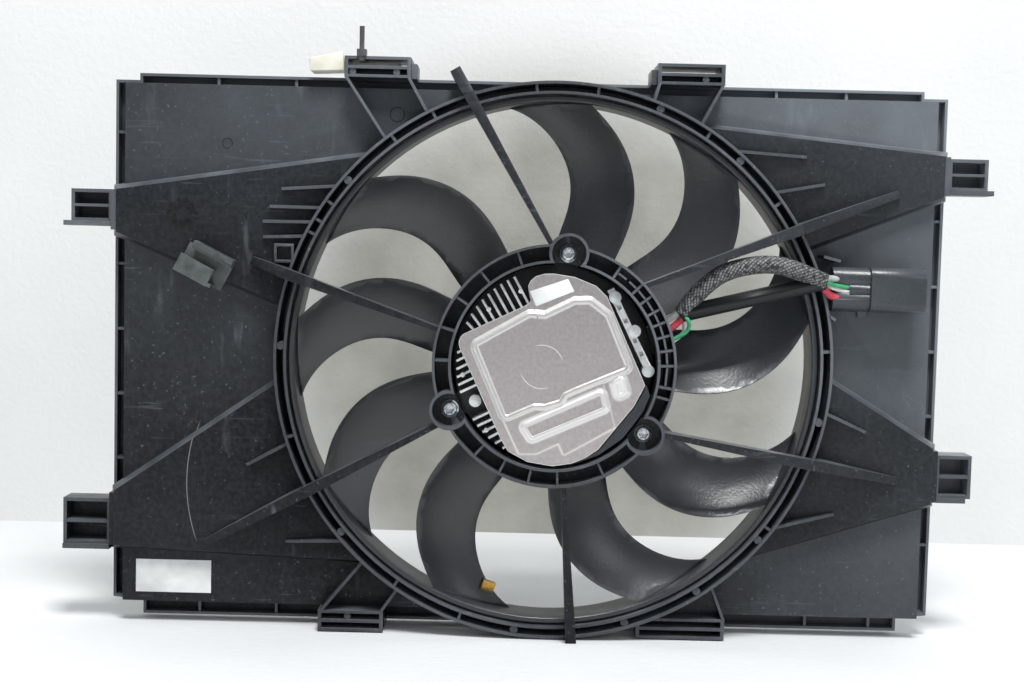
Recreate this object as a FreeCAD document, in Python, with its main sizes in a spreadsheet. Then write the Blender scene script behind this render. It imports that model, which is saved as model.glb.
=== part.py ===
"""Radiator fan module of a car: moulded shroud, banded fan, brushless motor and its lead.

The frame: the origin is on the fan's axis, in the plane where the shroud seats on the radiator.
+X is to the right and +Z up, as seen from the engine side, which is at -Y. A "depth" is a distance
from the radiator towards the engine, so a depth of 45 lies at Y = -45. All lengths are millimetres.
"""
import FreeCAD, Part
import math
import os
import Sketcher

Vector = FreeCAD.Vector
Rotation = FreeCAD.Rotation
Placement = FreeCAD.Placement

DIMENSIONS = {
    # Seat frame and rails: distances of the four edges from the fan's axis
    "edge_left": 316.0,
    "edge_right": 278.0,
    "edge_top": 198.0,
    "edge_bottom": 193.0,
    "rail_width": 9.5,
    "rail_height": 12.0,
    "rail_pitch": 47.0,
    "top_channel": 8.0,
    "bottom_channel": 12.0,
    "corner_step": 5.0,
    "top_flange_inset": 17.0,
    "bottom_flange_inset": 22.0,
    "floor": 2.5,
    "edge_wall": 2.0,
    "wall": 2.5,
    "rib": 2.0,
    "panel_front": 22.5,
    "wing_front": 31.0,
    "wing_slope": 22.0,
    "wing_margin": 6.0,
    # Ring round the fan: an open channel between two walls
    "ring_outer": 196.0,
    "ring_inner": 187.0,
    "ring_wall": 2.0,
    "ring_back": 7.0,
    "ring_floor": 18.0,
    "ring_front": 45.0,
    "ring_rib_front": 43.5,
    "ring_boss": 2.8,
    # Motor carrier
    "carrier_outer": 83.3,
    "carrier_inner": 70.4,
    "carrier_wall": 1.8,
    "carrier_back": 54.0,
    "carrier_front": 74.5,
    "carrier_floor": 2.2,
    "carrier_rib_drop": 1.5,
    "screw_circle": 77.6,
    "screw_angle": 84.0,
    "screw_boss": 13.6,
    "boss_wall": 2.0,
    "boss_seat": 61.0,
    # Struts between carrier and ring
    "strut_root_width": 3.2,
    "strut_tip_width": 7.6,
    "strut_root_back": 56.0,
    "strut_root_front": 73.0,
    "strut_tip_front": 54.0,
    "tail_front": 34.0,
    "fin_width": 2.2,
    # Clip brackets on the top and bottom flanges
    "bracket_height": 12.5,
    "bracket_front": 38.0,
    "bracket_slot": 4.2,
    "bracket_bar": 2.2,
    "bracket_wall": 2.6,
    "bracket_pocket": 14.0,
    # Side tabs
    "tab_back": 7.0,
    "tab_front": 26.0,
    "tab_lip": 3.0,
    # Fan
    "band_inner": 181.6,
    "band_wall": 2.2,
    "band_back": 12.0,
    "band_front": 42.0,
    "band_lip": 2.4,
    "hub_outer": 76.0,
    "hub_wall": 2.6,
    "hub_back": 8.0,
    "hub_front": 44.0,
    "hub_bore": 9.0,
    "blade_thickness": 2.6,
    "blade_camber": 0.10,
    "fan_screw_circle": 34.0,
    "fan_screw_hole": 2.2,
    # Rotor
    "bell_outer": 66.0,
    "bell_wall": 2.0,
    "bell_front": 43.0,
    "magnet_thickness": 4.0,
    "magnet_back": 19.0,
    "magnet_front": 42.0,
    "shaft_radius": 4.0,
    "shaft_back": 9.0,
    "shaft_front": 51.5,
    "clip_groove": 0.6,
    # Stator
    "air_gap": 0.8,
    "stator_back": 24.0,
    "stator_front": 38.0,
    "tooth_width": 8.0,
    "tooth_shoe": 3.0,
    "coil_margin": 3.0,
    # Motor housing
    "housing_radius": 68.8,
    "flange_back": 46.5,
    "flange_front": 54.0,
    "housing_front": 70.0,
    "bearing_outer": 11.0,
    "bearing_height": 7.0,
    "bearing_back": 20.0,
    "tube_outer": 14.9,
    "ear_radius": 8.0,
    "screw_radius": 3.0,
    "heat_fin": 1.6,
    # Lid, which lies turned on the housing
    "lid_turn": 23.0,
    "lid_plate": 2.2,
    "lid_emboss": 2.8,
    "gasket": 0.8,
    "cavity_floor": 51.0,
    "board_back": 60.0,
    "board_thickness": 1.6,
    # Fixings
    "bush_wall": 2.4,
    "screw_head": 5.4,
    "screw_washer": 6.4,
    "screw_head_height": 4.6,
    "fit": 0.3,
    # Connector, on the panel at the right
    "plug_left": 193.5,
    "plug_shoulder": 219.0,
    "plug_right": 257.0,
    "plug_centre_height": 56.5,
    "plug_centre_depth": 39.5,
    "plug_half_height": 15.5,
    "plug_half_depth": 12.5,
    "plug_wall": 2.2,
    "plug_mouth": 26.0,
    "plug_lobe": 8.0,
    "plug_corner": 7.0,
    # Lead
    "sleeve_radius": 6.3,
    "sleeve_bore": 5.6,
    "power_lead_radius": 2.5,
    "signal_lead_radius": 1.4,
}


class Size:
    """A length or an angle: its number, and the cell expression that gives it in the document."""

    def __init__(self, value, text):
        self.value = float(value)
        self.text = text

    def __add__(self, other):
        return Size(self.value + number(other), f"({self.text} + {words(other)})")

    def __radd__(self, other):
        return self + other

    def __sub__(self, other):
        return Size(self.value - number(other), f"({self.text} - {words(other)})")

    def __rsub__(self, other):
        return Size(number(other) - self.value, f"({words(other)} - {self.text})")

    def __mul__(self, other):
        return Size(self.value * number(other), f"({self.text} * {words(other)})")

    def __rmul__(self, other):
        return self * other

    def __truediv__(self, other):
        return Size(self.value / number(other), f"({self.text} / {words(other)})")

    def __neg__(self):
        return Size(-self.value, f"(0 - {self.text})")


def number(size):
    """The plain number of a size or of a number."""
    return size.value if isinstance(size, Size) else float(size)


def words(size):
    """The expression of a size or of a number."""
    return size.text if isinstance(size, Size) else f"{float(size):.6f}"


def cosine(angle):
    """Cosine of an angle in degrees."""
    return Size(math.cos(math.radians(number(angle))), f"cos({words(angle)})")


def sine(angle):
    """Sine of an angle in degrees."""
    return Size(math.sin(math.radians(number(angle))), f"sin({words(angle)})")


def on_circle(radius, angle):
    """The point at an angle on a circle round the fan's axis, as X and Z."""
    return radius * cosine(angle), radius * sine(angle)


class Cells:
    """Gives each cell of the sheet by its alias."""

    def __getattr__(self, alias):
        return Size(DIMENSIONS[alias], f"Sizes.{alias}")


size = Cells()
doc = FreeCAD.newDocument("radiator_fan_shroud")
sheet = doc.addObject("Spreadsheet::Sheet", "Sizes")
for row, (alias, value) in enumerate(DIMENSIONS.items(), start=1):
    sheet.set(f"A{row}", alias)
    sheet.set(f"B{row}", str(value))
    sheet.setAlias(f"B{row}", alias)
doc.recompute()

nodes = []
UPRIGHT = Rotation(Vector(1, 0, 0), 90)


# ---------------------------------------------------------------- ways of making a piece

def bind(thing, field, amount):
    """Sets a property and ties it to the sheet."""
    if hasattr(thing, field):
        setattr(thing, field, number(amount))
    if isinstance(amount, Size):
        thing.setExpression(field, amount.text)


def node(thing, label):
    """Marks an object as a finished piece, which is written to a file of that name."""
    thing.Label = label
    nodes.append(thing)
    return thing


def body(label):
    """A new PartDesign body that is a finished piece."""
    return node(doc.addObject("PartDesign::Body", label), label)


def sketch(owner, label, depth=0.0, role="XZ_Plane", turn=0.0):
    """A sketch in a body, parallel to one of its origin planes and that far in front of it."""
    made = owner.newObject("Sketcher::SketchObject", label)
    plane = next(f for f in owner.Origin.OriginFeatures if f.Role == role)
    made.AttachmentSupport = [(plane, "")]
    made.MapMode = "FlatFace"
    made.AttachmentOffset = Placement(Vector(0, 0, number(depth)), Rotation(Vector(0, 0, 1), number(turn)))
    if isinstance(depth, Size):
        made.setExpression(".AttachmentOffset.Base.z", depth.text)
    return made


def pin(made, places):
    """Ties sketch points, each (geometry, point, x, y), to the sheet by their distances from the origin."""
    rules = []
    for geometry, point, x, y in places:
        rules.append(("DistanceX", geometry, point, x))
        rules.append(("DistanceY", geometry, point, y))
    rows = made.addConstraint([
        Sketcher.Constraint(kind, -1, 1, geometry, point, number(amount))
        for kind, geometry, point, amount in rules
    ])
    for index, (kind, geometry, point, amount) in zip(rows, rules):
        if isinstance(amount, Size):
            made.setExpression(f"Constraints[{index}]", amount.text)


def outline(made, corners):
    """Adds a closed outline of straight lines through the corners."""
    first = made.GeometryCount
    count = len(corners)
    spots = [Vector(number(x), number(y), 0) for x, y in corners]
    made.addGeometry([Part.LineSegment(spots[i], spots[(i + 1) % count]) for i in range(count)], False)
    made.addConstraint([
        Sketcher.Constraint("Coincident", first + i, 2, first + (i + 1) % count, 1) for i in range(count)
    ])
    pin(made, [(first + i, 1, x, y) for i, (x, y) in enumerate(corners)])


def rectangle(made, left, right, low, high):
    """Adds an upright rectangle."""
    outline(made, [(left, low), (right, low), (right, high), (left, high)])


def strip(made, start, end, width):
    """Adds a straight strip of a given width from one point to another."""
    (x0, y0), (x1, y1) = start, end
    run = math.hypot(number(x1) - number(x0), number(y1) - number(y0))
    across_x = width * (-(number(y1) - number(y0)) / run / 2)
    across_y = width * ((number(x1) - number(x0)) / run / 2)
    outline(made, [
        (x0 - across_x, y0 - across_y), (x1 - across_x, y1 - across_y),
        (x1 + across_x, y1 + across_y), (x0 + across_x, y0 + across_y),
    ])


def circle(made, x, y, radius):
    """Adds a circle."""
    index = made.addGeometry(Part.Circle(Vector(number(x), number(y), 0), Vector(0, 0, 1), number(radius)), False)
    pin(made, [(index, 3, x, y)])
    rule = made.addConstraint(Sketcher.Constraint("Radius", index, number(radius)))
    if isinstance(radius, Size):
        made.setExpression(f"Constraints[{rule}]", radius.text)


def pad(owner, profile, length, taper=0.0):
    """Builds a sketch up towards the engine."""
    made = owner.newObject("PartDesign::Pad", profile.Label + "_pad")
    made.Profile = profile
    bind(made, "Length", length)
    if number(taper):
        bind(made, "TaperAngle", taper)
    return made


def pocket(owner, profile, length, from_radiator=False):
    """Cuts a sketch away from the radiator's side, or from the engine's side."""
    made = owner.newObject("PartDesign::Pocket", profile.Label + "_pocket")
    made.Profile = profile
    made.Reversed = from_radiator
    bind(made, "Length", length)
    return made


def revolve(owner, label, corners):
    """Turns a profile of (radius, depth) corners round the fan's axis."""
    profile = sketch(owner, label, role="XY_Plane")
    outline(profile, [(radius, -depth) for radius, depth in corners])
    made = owner.newObject("PartDesign::Revolution", label + "_turned")
    made.Profile = profile
    made.ReferenceAxis = (profile, ["V_Axis"])
    made.Angle = 360
    return made


def around(owner, features, count):
    """Repeats features evenly round the fan's axis."""
    made = owner.newObject("PartDesign::PolarPattern", features[0].Label + "_round")
    made.Originals = features
    made.Axis = (features[0].Profile[0], ["N_Axis"])
    made.Angle = 360
    made.Occurrences = count
    owner.Tip = made
    return made


def bar(label, start, end, section_start, section_end):
    """A tapered bar from one X, Z point to another. A section is (width, back depth, front depth)."""
    (x0, z0), (x1, z1) = start, end
    run = Vector(number(x1) - number(x0), 0, number(z1) - number(z0))
    along = Vector(run).normalize()
    made = doc.addObject("Part::Wedge", label)
    (width0, back0, front0), (width1, back1, front1) = section_start, section_end
    made.Ymin = 0
    made.Ymax = run.Length
    made.setExpression("Ymax", f"sqrt(({words(x1)} - {words(x0)})^2 + ({words(z1)} - {words(z0)})^2)")
    bind(made, "Xmax", width0 / 2)
    bind(made, "Xmin", -width0 / 2)
    bind(made, "X2max", width1 / 2)
    bind(made, "X2min", -width1 / 2)
    bind(made, "Zmin", back0)
    bind(made, "Zmax", front0)
    bind(made, "Z2min", back1)
    bind(made, "Z2max", front1)
    side = along.cross(Vector(0, -1, 0))
    made.Placement = Placement(Vector(number(x0), 0, number(z0)), Rotation(side, along, Vector(0, -1, 0), "ZYX"))
    return made


def block(label, left, right, low, high, back, front):
    """An upright block between two X, two Z and two depths."""
    made = doc.addObject("Part::Box", label)
    bind(made, "Length", right - left)
    bind(made, "Width", front - back)
    bind(made, "Height", high - low)
    made.Placement = Placement(Vector(number(left), -number(front), number(low)), Rotation())
    for axis, amount in (("x", left), ("y", -front), ("z", low)):
        if isinstance(amount, Size):
            made.setExpression(f".Placement.Base.{axis}", amount.text)
    return made


def post(label, x, z, radius, back, front):
    """A round post between two depths."""
    made = doc.addObject("Part::Cylinder", label)
    bind(made, "Radius", radius)
    bind(made, "Height", front - back)
    made.Placement = Placement(Vector(number(x), -number(back), number(z)), UPRIGHT)
    for axis, amount in (("x", x), ("y", -back), ("z", z)):
        if isinstance(amount, Size):
            made.setExpression(f".Placement.Base.{axis}", amount.text)
    return made


def cut(label, base, tool):
    """The base without the tool."""
    made = doc.addObject("Part::Cut", label)
    made.Base = base
    made.Tool = tool
    return made


def join(label, things):
    """Several objects as one solid."""
    made = doc.addObject("Part::MultiFuse", label)
    made.Shapes = things
    return made


def group(label, things):
    """Several separate solids in one piece's file."""
    made = doc.addObject("Part::Compound", label)
    made.Links = things
    return made


def free_shape(label, shape):
    """A piece whose shape comes from Part's own functions, in the part's frame."""
    made = doc.addObject("Part::Feature", label)
    made.Shape = shape
    made.Placement = Placement()
    return node(made, label)


def point(x, z, depth):
    """A point of the part's frame from X, Z and depth."""
    return Vector(number(x), -number(depth), number(z))


def tube(route, radius, inner=0.0):
    """A round lead along a route: straight runs joined by arcs as large as the runs allow."""
    edges = []
    last = route[0]
    for before, corner, after in zip(route, route[1:], route[2:]):
        run_in = corner - before
        run_out = after - corner
        half_turn = run_in.getAngle(run_out) / 2
        reach = 0.45 * min(run_in.Length, run_out.Length)
        enter = corner - Vector(run_in).normalize() * reach
        leave = corner + Vector(run_out).normalize() * reach
        inward = (Vector(run_out).normalize() - Vector(run_in).normalize()).normalize()
        bend = reach / math.tan(half_turn)
        middle = corner + inward * (bend / math.cos(half_turn) - bend)
        edges.append(Part.LineSegment(last, enter).toShape())
        edges.append(Part.Arc(enter, middle, leave).toShape())
        last = leave
    edges.append(Part.LineSegment(last, route[-1]).toShape())
    path = Part.Wire(edges)
    heading = route[1] - route[0]
    solid = path.makePipe(Part.Face(Part.Wire(Part.makeCircle(radius, route[0], heading))))
    if inner:
        solid = solid.cut(path.makePipe(Part.Face(Part.Wire(Part.makeCircle(inner, route[0], heading)))))
    return solid


# ---------------------------------------------------------------- shroud: panel, rails, wings, tabs

left = -size.edge_left
right = size.edge_right
top = size.edge_top
bottom = -size.edge_bottom
dish_left = left + size.rail_width
dish_right = right - size.rail_width
dish_top = top - size.top_channel
dish_bottom = bottom + size.bottom_channel

panel = body("shroud_panel")

seat = sketch(panel, "seat_frame")
outline(seat, [
    (left, top - size.corner_step), (left + size.top_flange_inset, top - size.corner_step),
    (left + size.top_flange_inset, top), (right - size.top_flange_inset, top),
    (right - size.top_flange_inset, top - size.corner_step), (right, top - size.corner_step),
    (right, dish_bottom), (right - size.bottom_flange_inset, dish_bottom - size.corner_step / 2),
    (right - size.bottom_flange_inset, bottom), (left + size.bottom_flange_inset, bottom),
    (left + size.bottom_flange_inset, dish_bottom - size.corner_step / 2), (left, dish_bottom),
])
pad(panel, seat, size.rail_height)

dish = sketch(panel, "dish")
rectangle(dish, dish_left, dish_right, dish_bottom, dish_top)
pad(panel, dish, size.panel_front)

channels = sketch(panel, "rail_channels", size.rail_height)
rectangle(channels, left + size.edge_wall, dish_left, dish_bottom + size.edge_wall,
          top - size.corner_step - size.edge_wall)
rectangle(channels, dish_right, right - size.edge_wall, dish_bottom + size.edge_wall,
          top - size.corner_step - size.edge_wall)
rectangle(channels, left + size.top_flange_inset + size.edge_wall,
          right - size.top_flange_inset - size.edge_wall, dish_top, top - size.edge_wall)
rectangle(channels, left + size.bottom_flange_inset + size.edge_wall,
          right - size.bottom_flange_inset - size.edge_wall, bottom + size.edge_wall, dish_bottom)
pocket(panel, channels, size.rail_height - size.floor)

# Cross ribs in the four channels
channel_ribs = sketch(panel, "channel_ribs", size.floor)
for step in range(-3, 4):
    height = step * size.rail_pitch + 15.0
    rectangle(channel_ribs, left + size.edge_wall / 2, dish_left + size.wall / 2,
              height - size.rib / 2, height + size.rib / 2)
    rectangle(channel_ribs, dish_right - size.wall / 2, right - size.edge_wall / 2,
              height - size.rib / 2 - 3.0, height + size.rib / 2 - 3.0)
for across in (-243.0, -187.5, 155.5, 205.5):
    rectangle(channel_ribs, across - size.rib / 2, across + size.rib / 2,
              dish_top - size.wall / 2, top - size.edge_wall / 2)
for across in (-253.0, -197.0, 190.0, 236.5):
    rectangle(channel_ribs, across - size.rib / 2, across + size.rib / 2,
              bottom + size.edge_wall / 2, dish_bottom + size.wall / 2)
pad(panel, channel_ribs, size.rail_height - size.floor - 1.0)

# The four wings run from the ring out over the rails. Each is (side, outer top, outer foot,
# inner top X and Z, inner foot X and Z), and the inner ends are cut off by the ring's bore.
WINGS = {
    "upper_left": (-1, 118.0, 82.0, (105.0, 150.5), (175.0, 24.5)),
    "lower_left": (-1, -97.5, -143.0, (170.0, 2.5), (100.0, -151.5)),
    "upper_right": (1, 155.0, 120.0, (60.0, 175.5), (160.0, 74.0)),
    "lower_right": (1, -53.5, -98.5, (170.0, 11.5), (105.0, -152.5)),
}
for name, (side, outer_top, outer_foot, inner_top, inner_foot) in WINGS.items():
    edge = (size.edge_left if side < 0 else size.edge_right) - 1.5
    rise = sketch(panel, f"wing_{name}", size.panel_front - size.wall / 2)
    outline(rise, [
        (edge * side, outer_foot), (edge * side, outer_top),
        (side * inner_top[0], inner_top[1]), (side * inner_foot[0], inner_foot[1]),
    ])
    pad(panel, rise, size.wing_front - size.panel_front + size.wall / 2, -size.wing_slope)
    bridge = sketch(panel, f"wing_end_{name}", size.floor / 2)
    rim = edge * side
    inset = (edge - size.rail_width) * side
    rectangle(bridge, rim if side < 0 else inset, inset if side < 0 else rim, outer_foot + 4.0, outer_top - 4.0)
    pad(panel, bridge, size.wing_front - size.floor / 2 - 1.0)

# The back is open to the radiator: the dish is hollow, and so are the wings
hollow = sketch(panel, "dish_hollow")
rectangle(hollow, dish_left + size.wall, dish_right - size.wall, dish_bottom + size.wall, dish_top - size.wall)
pocket(panel, hollow, size.panel_front - size.wall, from_radiator=True)
for name, (side, outer_top, outer_foot, inner_top, inner_foot) in WINGS.items():
    edge = (size.edge_left if side < 0 else size.edge_right) - size.rail_width - size.wall - 1.0
    inner = sketch(panel, f"wing_hollow_{name}")
    outline(inner, [
        (edge * side, outer_foot + size.wing_margin), (edge * side, outer_top - size.wing_margin),
        (side * inner_top[0], inner_top[1] - size.wing_margin),
        (side * inner_foot[0], inner_foot[1] + size.wing_margin),
    ])
    pocket(panel, inner, size.wing_front - size.wall, from_radiator=True)

bore = sketch(panel, "ring_bore", 80.0)
circle(bore, 0, 0, size.ring_outer)
pocket(panel, bore, 90.0)

# Side tabs: an open box with a lip, by which the module hangs on the radiator's end tanks.
# Each is (side, reach past the edge, low Z, high Z, lip's reach)
TABS = {
    "upper_left": (-1, 27.5, 91.5, 114.5, 32.5),
    "lower_left": (-1, 32.5, -140.0, -106.5, 32.5),
    "upper_right": (1, 26.5, 127.5, 150.0, 30.5),
    "lower_right": (1, 24.0, -92.0, -61.0, 20.0),
}
for name, (side, reach, low, high, lip_reach) in TABS.items():
    edge = size.edge_left if side < 0 else size.edge_right
    ends = sorted([(edge - 3.0) * side, (edge + reach) * side], key=number)
    box = sketch(panel, f"tab_{name}", size.tab_back)
    rectangle(box, ends[0], ends[1], low, high)
    pad(panel, box, size.tab_front - size.tab_back)
    inside = sorted([(edge + 1.0) * side, (edge + reach - size.wall) * side], key=number)
    well = sketch(panel, f"tab_well_{name}", size.tab_front)
    middle = (low + high) / 2
    rectangle(well, inside[0], inside[1], low + size.wall, middle - size.rib / 2)
    rectangle(well, inside[0], inside[1], middle + size.rib / 2, high - size.wall)
    pocket(panel, well, size.tab_front - size.tab_back - size.wall)
    tips = sorted([(edge - 1.0) * side, (edge + lip_reach) * side], key=number)
    lip = sketch(panel, f"tab_lip_{name}", size.tab_back - 4.0)
    rectangle(lip, tips[0], tips[1], low - size.tab_lip, low + 0.5)
    pad(panel, lip, size.tab_front - size.tab_back + 6.0)

# ---------------------------------------------------------------- shroud: ring

ring = body("shroud_ring")
ring_mid = size.ring_inner + size.ring_wall
ring_out = size.ring_outer - size.ring_wall
revolve(ring, "ring_profile", [
    (size.ring_inner, size.ring_back), (ring_mid, size.ring_back), (ring_mid, size.ring_floor),
    (size.ring_outer, size.ring_floor), (size.ring_outer, size.ring_front), (ring_out, size.ring_front),
    (ring_out, size.ring_floor + size.wall), (ring_mid, size.ring_floor + size.wall),
    (ring_mid, size.ring_front), (size.ring_inner, size.ring_front),
])
RING_RIBS = (3.7, 36.7, 57.2, 82.0, 94.8, 117.0, 126.7, 145.6, 150.0, 153.0, 197.0, 236.0, 251.2, 323.7)
RING_BOSSES = (48.7, 68.6, 139.6, 177.7, 220.0, 263.1, 286.8, 303.5, 320.5, 348.7)
ribs = sketch(ring, "ring_ribs", size.ring_floor + size.wall / 2)
for angle in RING_RIBS:
    strip(ribs, on_circle(ring_mid - size.ring_wall / 2, angle), on_circle(ring_out + size.ring_wall / 2, angle),
          size.rib)
pad(ring, ribs, size.ring_rib_front - size.ring_floor - size.wall / 2)
bosses = sketch(ring, "ring_bosses", size.ring_floor + size.wall / 2)
for angle in RING_BOSSES:
    x, z = on_circle((ring_mid + ring_out) / 2, angle)
    circle(bosses, x, z, size.ring_boss)
pad(ring, bosses, size.ring_rib_front - size.ring_floor - size.wall / 2)

# ---------------------------------------------------------------- shroud: motor carrier

carrier = body("motor_carrier")
carrier_mid_in = size.carrier_inner + size.carrier_wall
carrier_mid_out = size.carrier_outer - size.carrier_wall
revolve(carrier, "carrier_profile", [
    (size.carrier_inner, size.carrier_back), (size.carrier_outer, size.carrier_back),
    (size.carrier_outer, size.carrier_front), (carrier_mid_out, size.carrier_front),
    (carrier_mid_out, size.carrier_back + size.carrier_floor),
    (carrier_mid_in, size.carrier_back + size.carrier_floor),
    (carrier_mid_in, size.carrier_front), (size.carrier_inner, size.carrier_front),
])
# Cells: single ones most of the way round, and a double row where the lead comes out
CARRIER_RIBS = (109.0, 129.0, 145.8, 161.9, 178.2, 229.6, 244.0, 258.7, 273.0, 295.7, 345.0,
                350.4, 1.6, 9.2, 16.5, 23.4, 30.0, 37.4, 44.5, 57.9)
cells = sketch(carrier, "carrier_ribs", size.carrier_back + size.carrier_floor / 2)
for angle in CARRIER_RIBS:
    strip(cells, on_circle(carrier_mid_in - 1.0, angle), on_circle(carrier_mid_out + 1.0, angle), size.rib * 0.8)
pad(carrier, cells, size.carrier_front - size.carrier_back - size.carrier_floor / 2 - size.carrier_rib_drop)
double_row = sketch(carrier, "carrier_mid_wall", size.carrier_back + size.carrier_floor / 2)
mid_radius = (carrier_mid_in + carrier_mid_out) / 2
wall_angles = (350.4, 361.6, 369.2, 376.5, 383.4, 390.0, 397.4, 404.5, 411.0, 417.9)
for start_angle, end_angle in zip(wall_angles, wall_angles[1:]):
    strip(double_row, on_circle(mid_radius, start_angle + 0.9), on_circle(mid_radius, end_angle - 0.9), size.rib * 0.7)
pad(carrier, double_row, size.carrier_front - size.carrier_back - size.carrier_floor / 2 - size.carrier_rib_drop)

screw_spot = on_circle(size.screw_circle, size.screw_angle)
boss = sketch(carrier, "screw_boss", size.carrier_back)
circle(boss, *screw_spot, size.screw_boss)
boss_pad = pad(carrier, boss, size.carrier_front - size.carrier_back)
around(carrier, [boss_pad], 3)
cup = sketch(carrier, "screw_cup", size.carrier_front)
circle(cup, *screw_spot, size.screw_boss - size.boss_wall)
cup_pocket = pocket(carrier, cup, size.carrier_front - size.boss_seat)
around(carrier, [cup_pocket], 3)
hole = sketch(carrier, "bush_hole", size.boss_seat)
circle(hole, *screw_spot, size.screw_radius + size.fit + size.bush_wall + 0.05)
hole_pocket = pocket(carrier, hole, size.boss_seat - size.carrier_back)
around(carrier, [hole_pocket], 3)
# The motor's body passes through the carrier, so the bosses are cut back to its inner wall
clear = sketch(carrier, "motor_opening", size.carrier_front + 1.0)
circle(clear, 0, 0, size.carrier_inner)
pocket(carrier, clear, size.carrier_front - size.carrier_back + 2.0)

# ---------------------------------------------------------------- shroud: struts and ribs

# Each strut is (angle where it leaves the carrier, X and Z of its outer end past the ring)
STRUTS = {
    "top": (92.3, (-70.5, 198.0)),
    "upper_right": (43.0, (240.2, 124.2)),
    "lower_right": (-32.2, (246.2, -79.0)),
    "bottom": (-84.1, (17.8, -203.0)),
    "lower_left": (208.0, (-244.7, -135.3)),
    "upper_left": (163.6, (-214.1, 67.0)),
}
raw_struts = []
raw_ribs = []
on_wing = size.wing_front - 1.0
on_panel = size.panel_front - 1.0
for name, (angle, (end_x, end_z)) in STRUTS.items():
    root_radius = size.carrier_outer - size.carrier_wall / 2
    start_x, start_z = number(root_radius * cosine(angle)), number(root_radius * sine(angle))
    run_x, run_z = end_x - start_x, end_z - start_z
    run = math.hypot(run_x, run_z)
    unit_x, unit_z = run_x / run, run_z / run
    along = start_x * unit_x + start_z * unit_z
    offset = start_x ** 2 + start_z ** 2
    over_ring = -along + math.sqrt(along ** 2 - offset + number(size.ring_outer) ** 2)
    cross = (start_x + unit_x * over_ring, start_z + unit_z * over_ring)
    raw_struts.append(bar(
        f"strut_{name}", (root_radius * cosine(angle), root_radius * sine(angle)), cross,
        (size.strut_root_width, size.strut_root_back, size.strut_root_front),
        (size.strut_tip_width, size.ring_front - 1.5, size.strut_tip_front),
    ))
    if name == "bottom":
        raw_ribs.append(bar(f"tail_{name}", cross, (end_x, end_z),
                            (size.strut_tip_width, size.ring_floor, size.strut_tip_front - 1.0),
                            (size.strut_tip_width, size.ring_floor, size.strut_tip_front - 3.0)))
    elif name == "top":
        raw_ribs.append(bar(f"tail_{name}", cross, (end_x + unit_x * 4.7, end_z + unit_z * 4.7),
                            (size.strut_tip_width, on_panel, size.strut_tip_front - 1.0),
                            (size.strut_tip_width, on_panel, size.strut_tip_front - 6.0)))
    else:
        raw_ribs.append(bar(f"tail_{name}", cross, (end_x, end_z),
                            (size.strut_tip_width, on_wing, size.strut_tip_front - 0.5),
                            (size.strut_tip_width * 0.7, on_wing, size.tail_front)))

# Fins that brace the ring on the wings, from the ring's wall to their tips, as X and Z
FINS = {
    "left_1": ((-148.0, 120.3), (-193.5, 117.5)),
    "left_2": ((-160.0, 104.5), (-201.7, 105.0)),
    "left_3": ((-168.0, 94.6), (-206.5, 94.4)),
    "left_4": ((-174.0, 84.6), (-206.0, 83.5)),
    "left_5": ((-183.0, -60.0), (-215.7, -78.6)),
    "left_6": ((-146.0, -129.8), (-187.3, -132.9)),
    "right_1": ((123.5, 150.6), (174.3, 148.2)),
    "right_2": ((149.0, 122.2), (187.7, 129.4)),
    "right_3": ((191.0, -30.3), (223.5, -44.7)),
    "right_4": ((160.0, -112.8), (202.9, -104.0)),
}
for name, (start, end) in FINS.items():
    raw_ribs.append(bar(f"fin_{name}", start, end, (size.fin_width, on_wing, size.ring_front - 2.0),
                        (size.fin_width, on_wing, size.wing_front + 3.0)))

# Walls from the clip brackets down to the ring
bracket_line = size.edge_top - size.edge_wall
BRACES = {
    "top_1": ((-149.6, 197.0), (-121.0, 154.5)),
    "top_2": ((-105.8, 197.0), (-92.5, 173.5)),
    "top_3": ((69.5, 197.0), (65.5, 183.5)),
    "top_4": ((114.1, 197.0), (99.0, 168.5)),
    "bottom_1": ((-161.3, -182.0), (-131.5, -145.0)),
    "bottom_2": ((-118.7, -182.0), (-106.5, -164.0)),
    "bottom_3": ((126.4, -182.0), (117.0, -158.0)),
}
for name, (start, end) in BRACES.items():
    raw_ribs.append(bar(f"brace_{name}", start, end, (size.rib, on_panel, size.bracket_front),
                        (size.rib, on_panel, size.ring_front - 4.0)))

# Hooks at the ring's right side that guide the lead
raw_ribs.append(bar("hook_upper", (187.0, 79.0), (199.0, 76.0), (size.rib, on_panel, size.ring_front - 1.0),
                    (size.rib, on_panel, size.ring_front - 3.0)))
raw_ribs.append(bar("hook_lower", (188.0, 39.5), (196.5, 35.0), (size.rib, on_panel, size.ring_front + 3.0),
                    (size.rib, on_panel, size.ring_front)))

carrier_rooms = [post("carrier_room", 0, 0, size.carrier_outer, size.carrier_back - 5.0, size.carrier_front + 5.0)]
for step in range(3):
    carrier_rooms.append(post(f"boss_room_{step}", *on_circle(size.screw_circle, size.screw_angle + 120.0 * step),
                              size.screw_boss, size.carrier_back - 5.0, size.carrier_front + 5.0))
struts_clear = cut("struts_at_ring", group("struts_raw", raw_struts), ring)
struts_short = cut("struts_at_carrier", struts_clear, join("carrier_rooms", carrier_rooms))
struts = node(cut("struts_finished", struts_short, carrier), "motor_struts")

bore_room = post("ring_room", 0, 0, size.ring_outer, 0.0, size.strut_tip_front + 1.0)
ribs_clear = cut("ribs_at_panel", group("ribs_raw", raw_ribs), panel)


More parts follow.
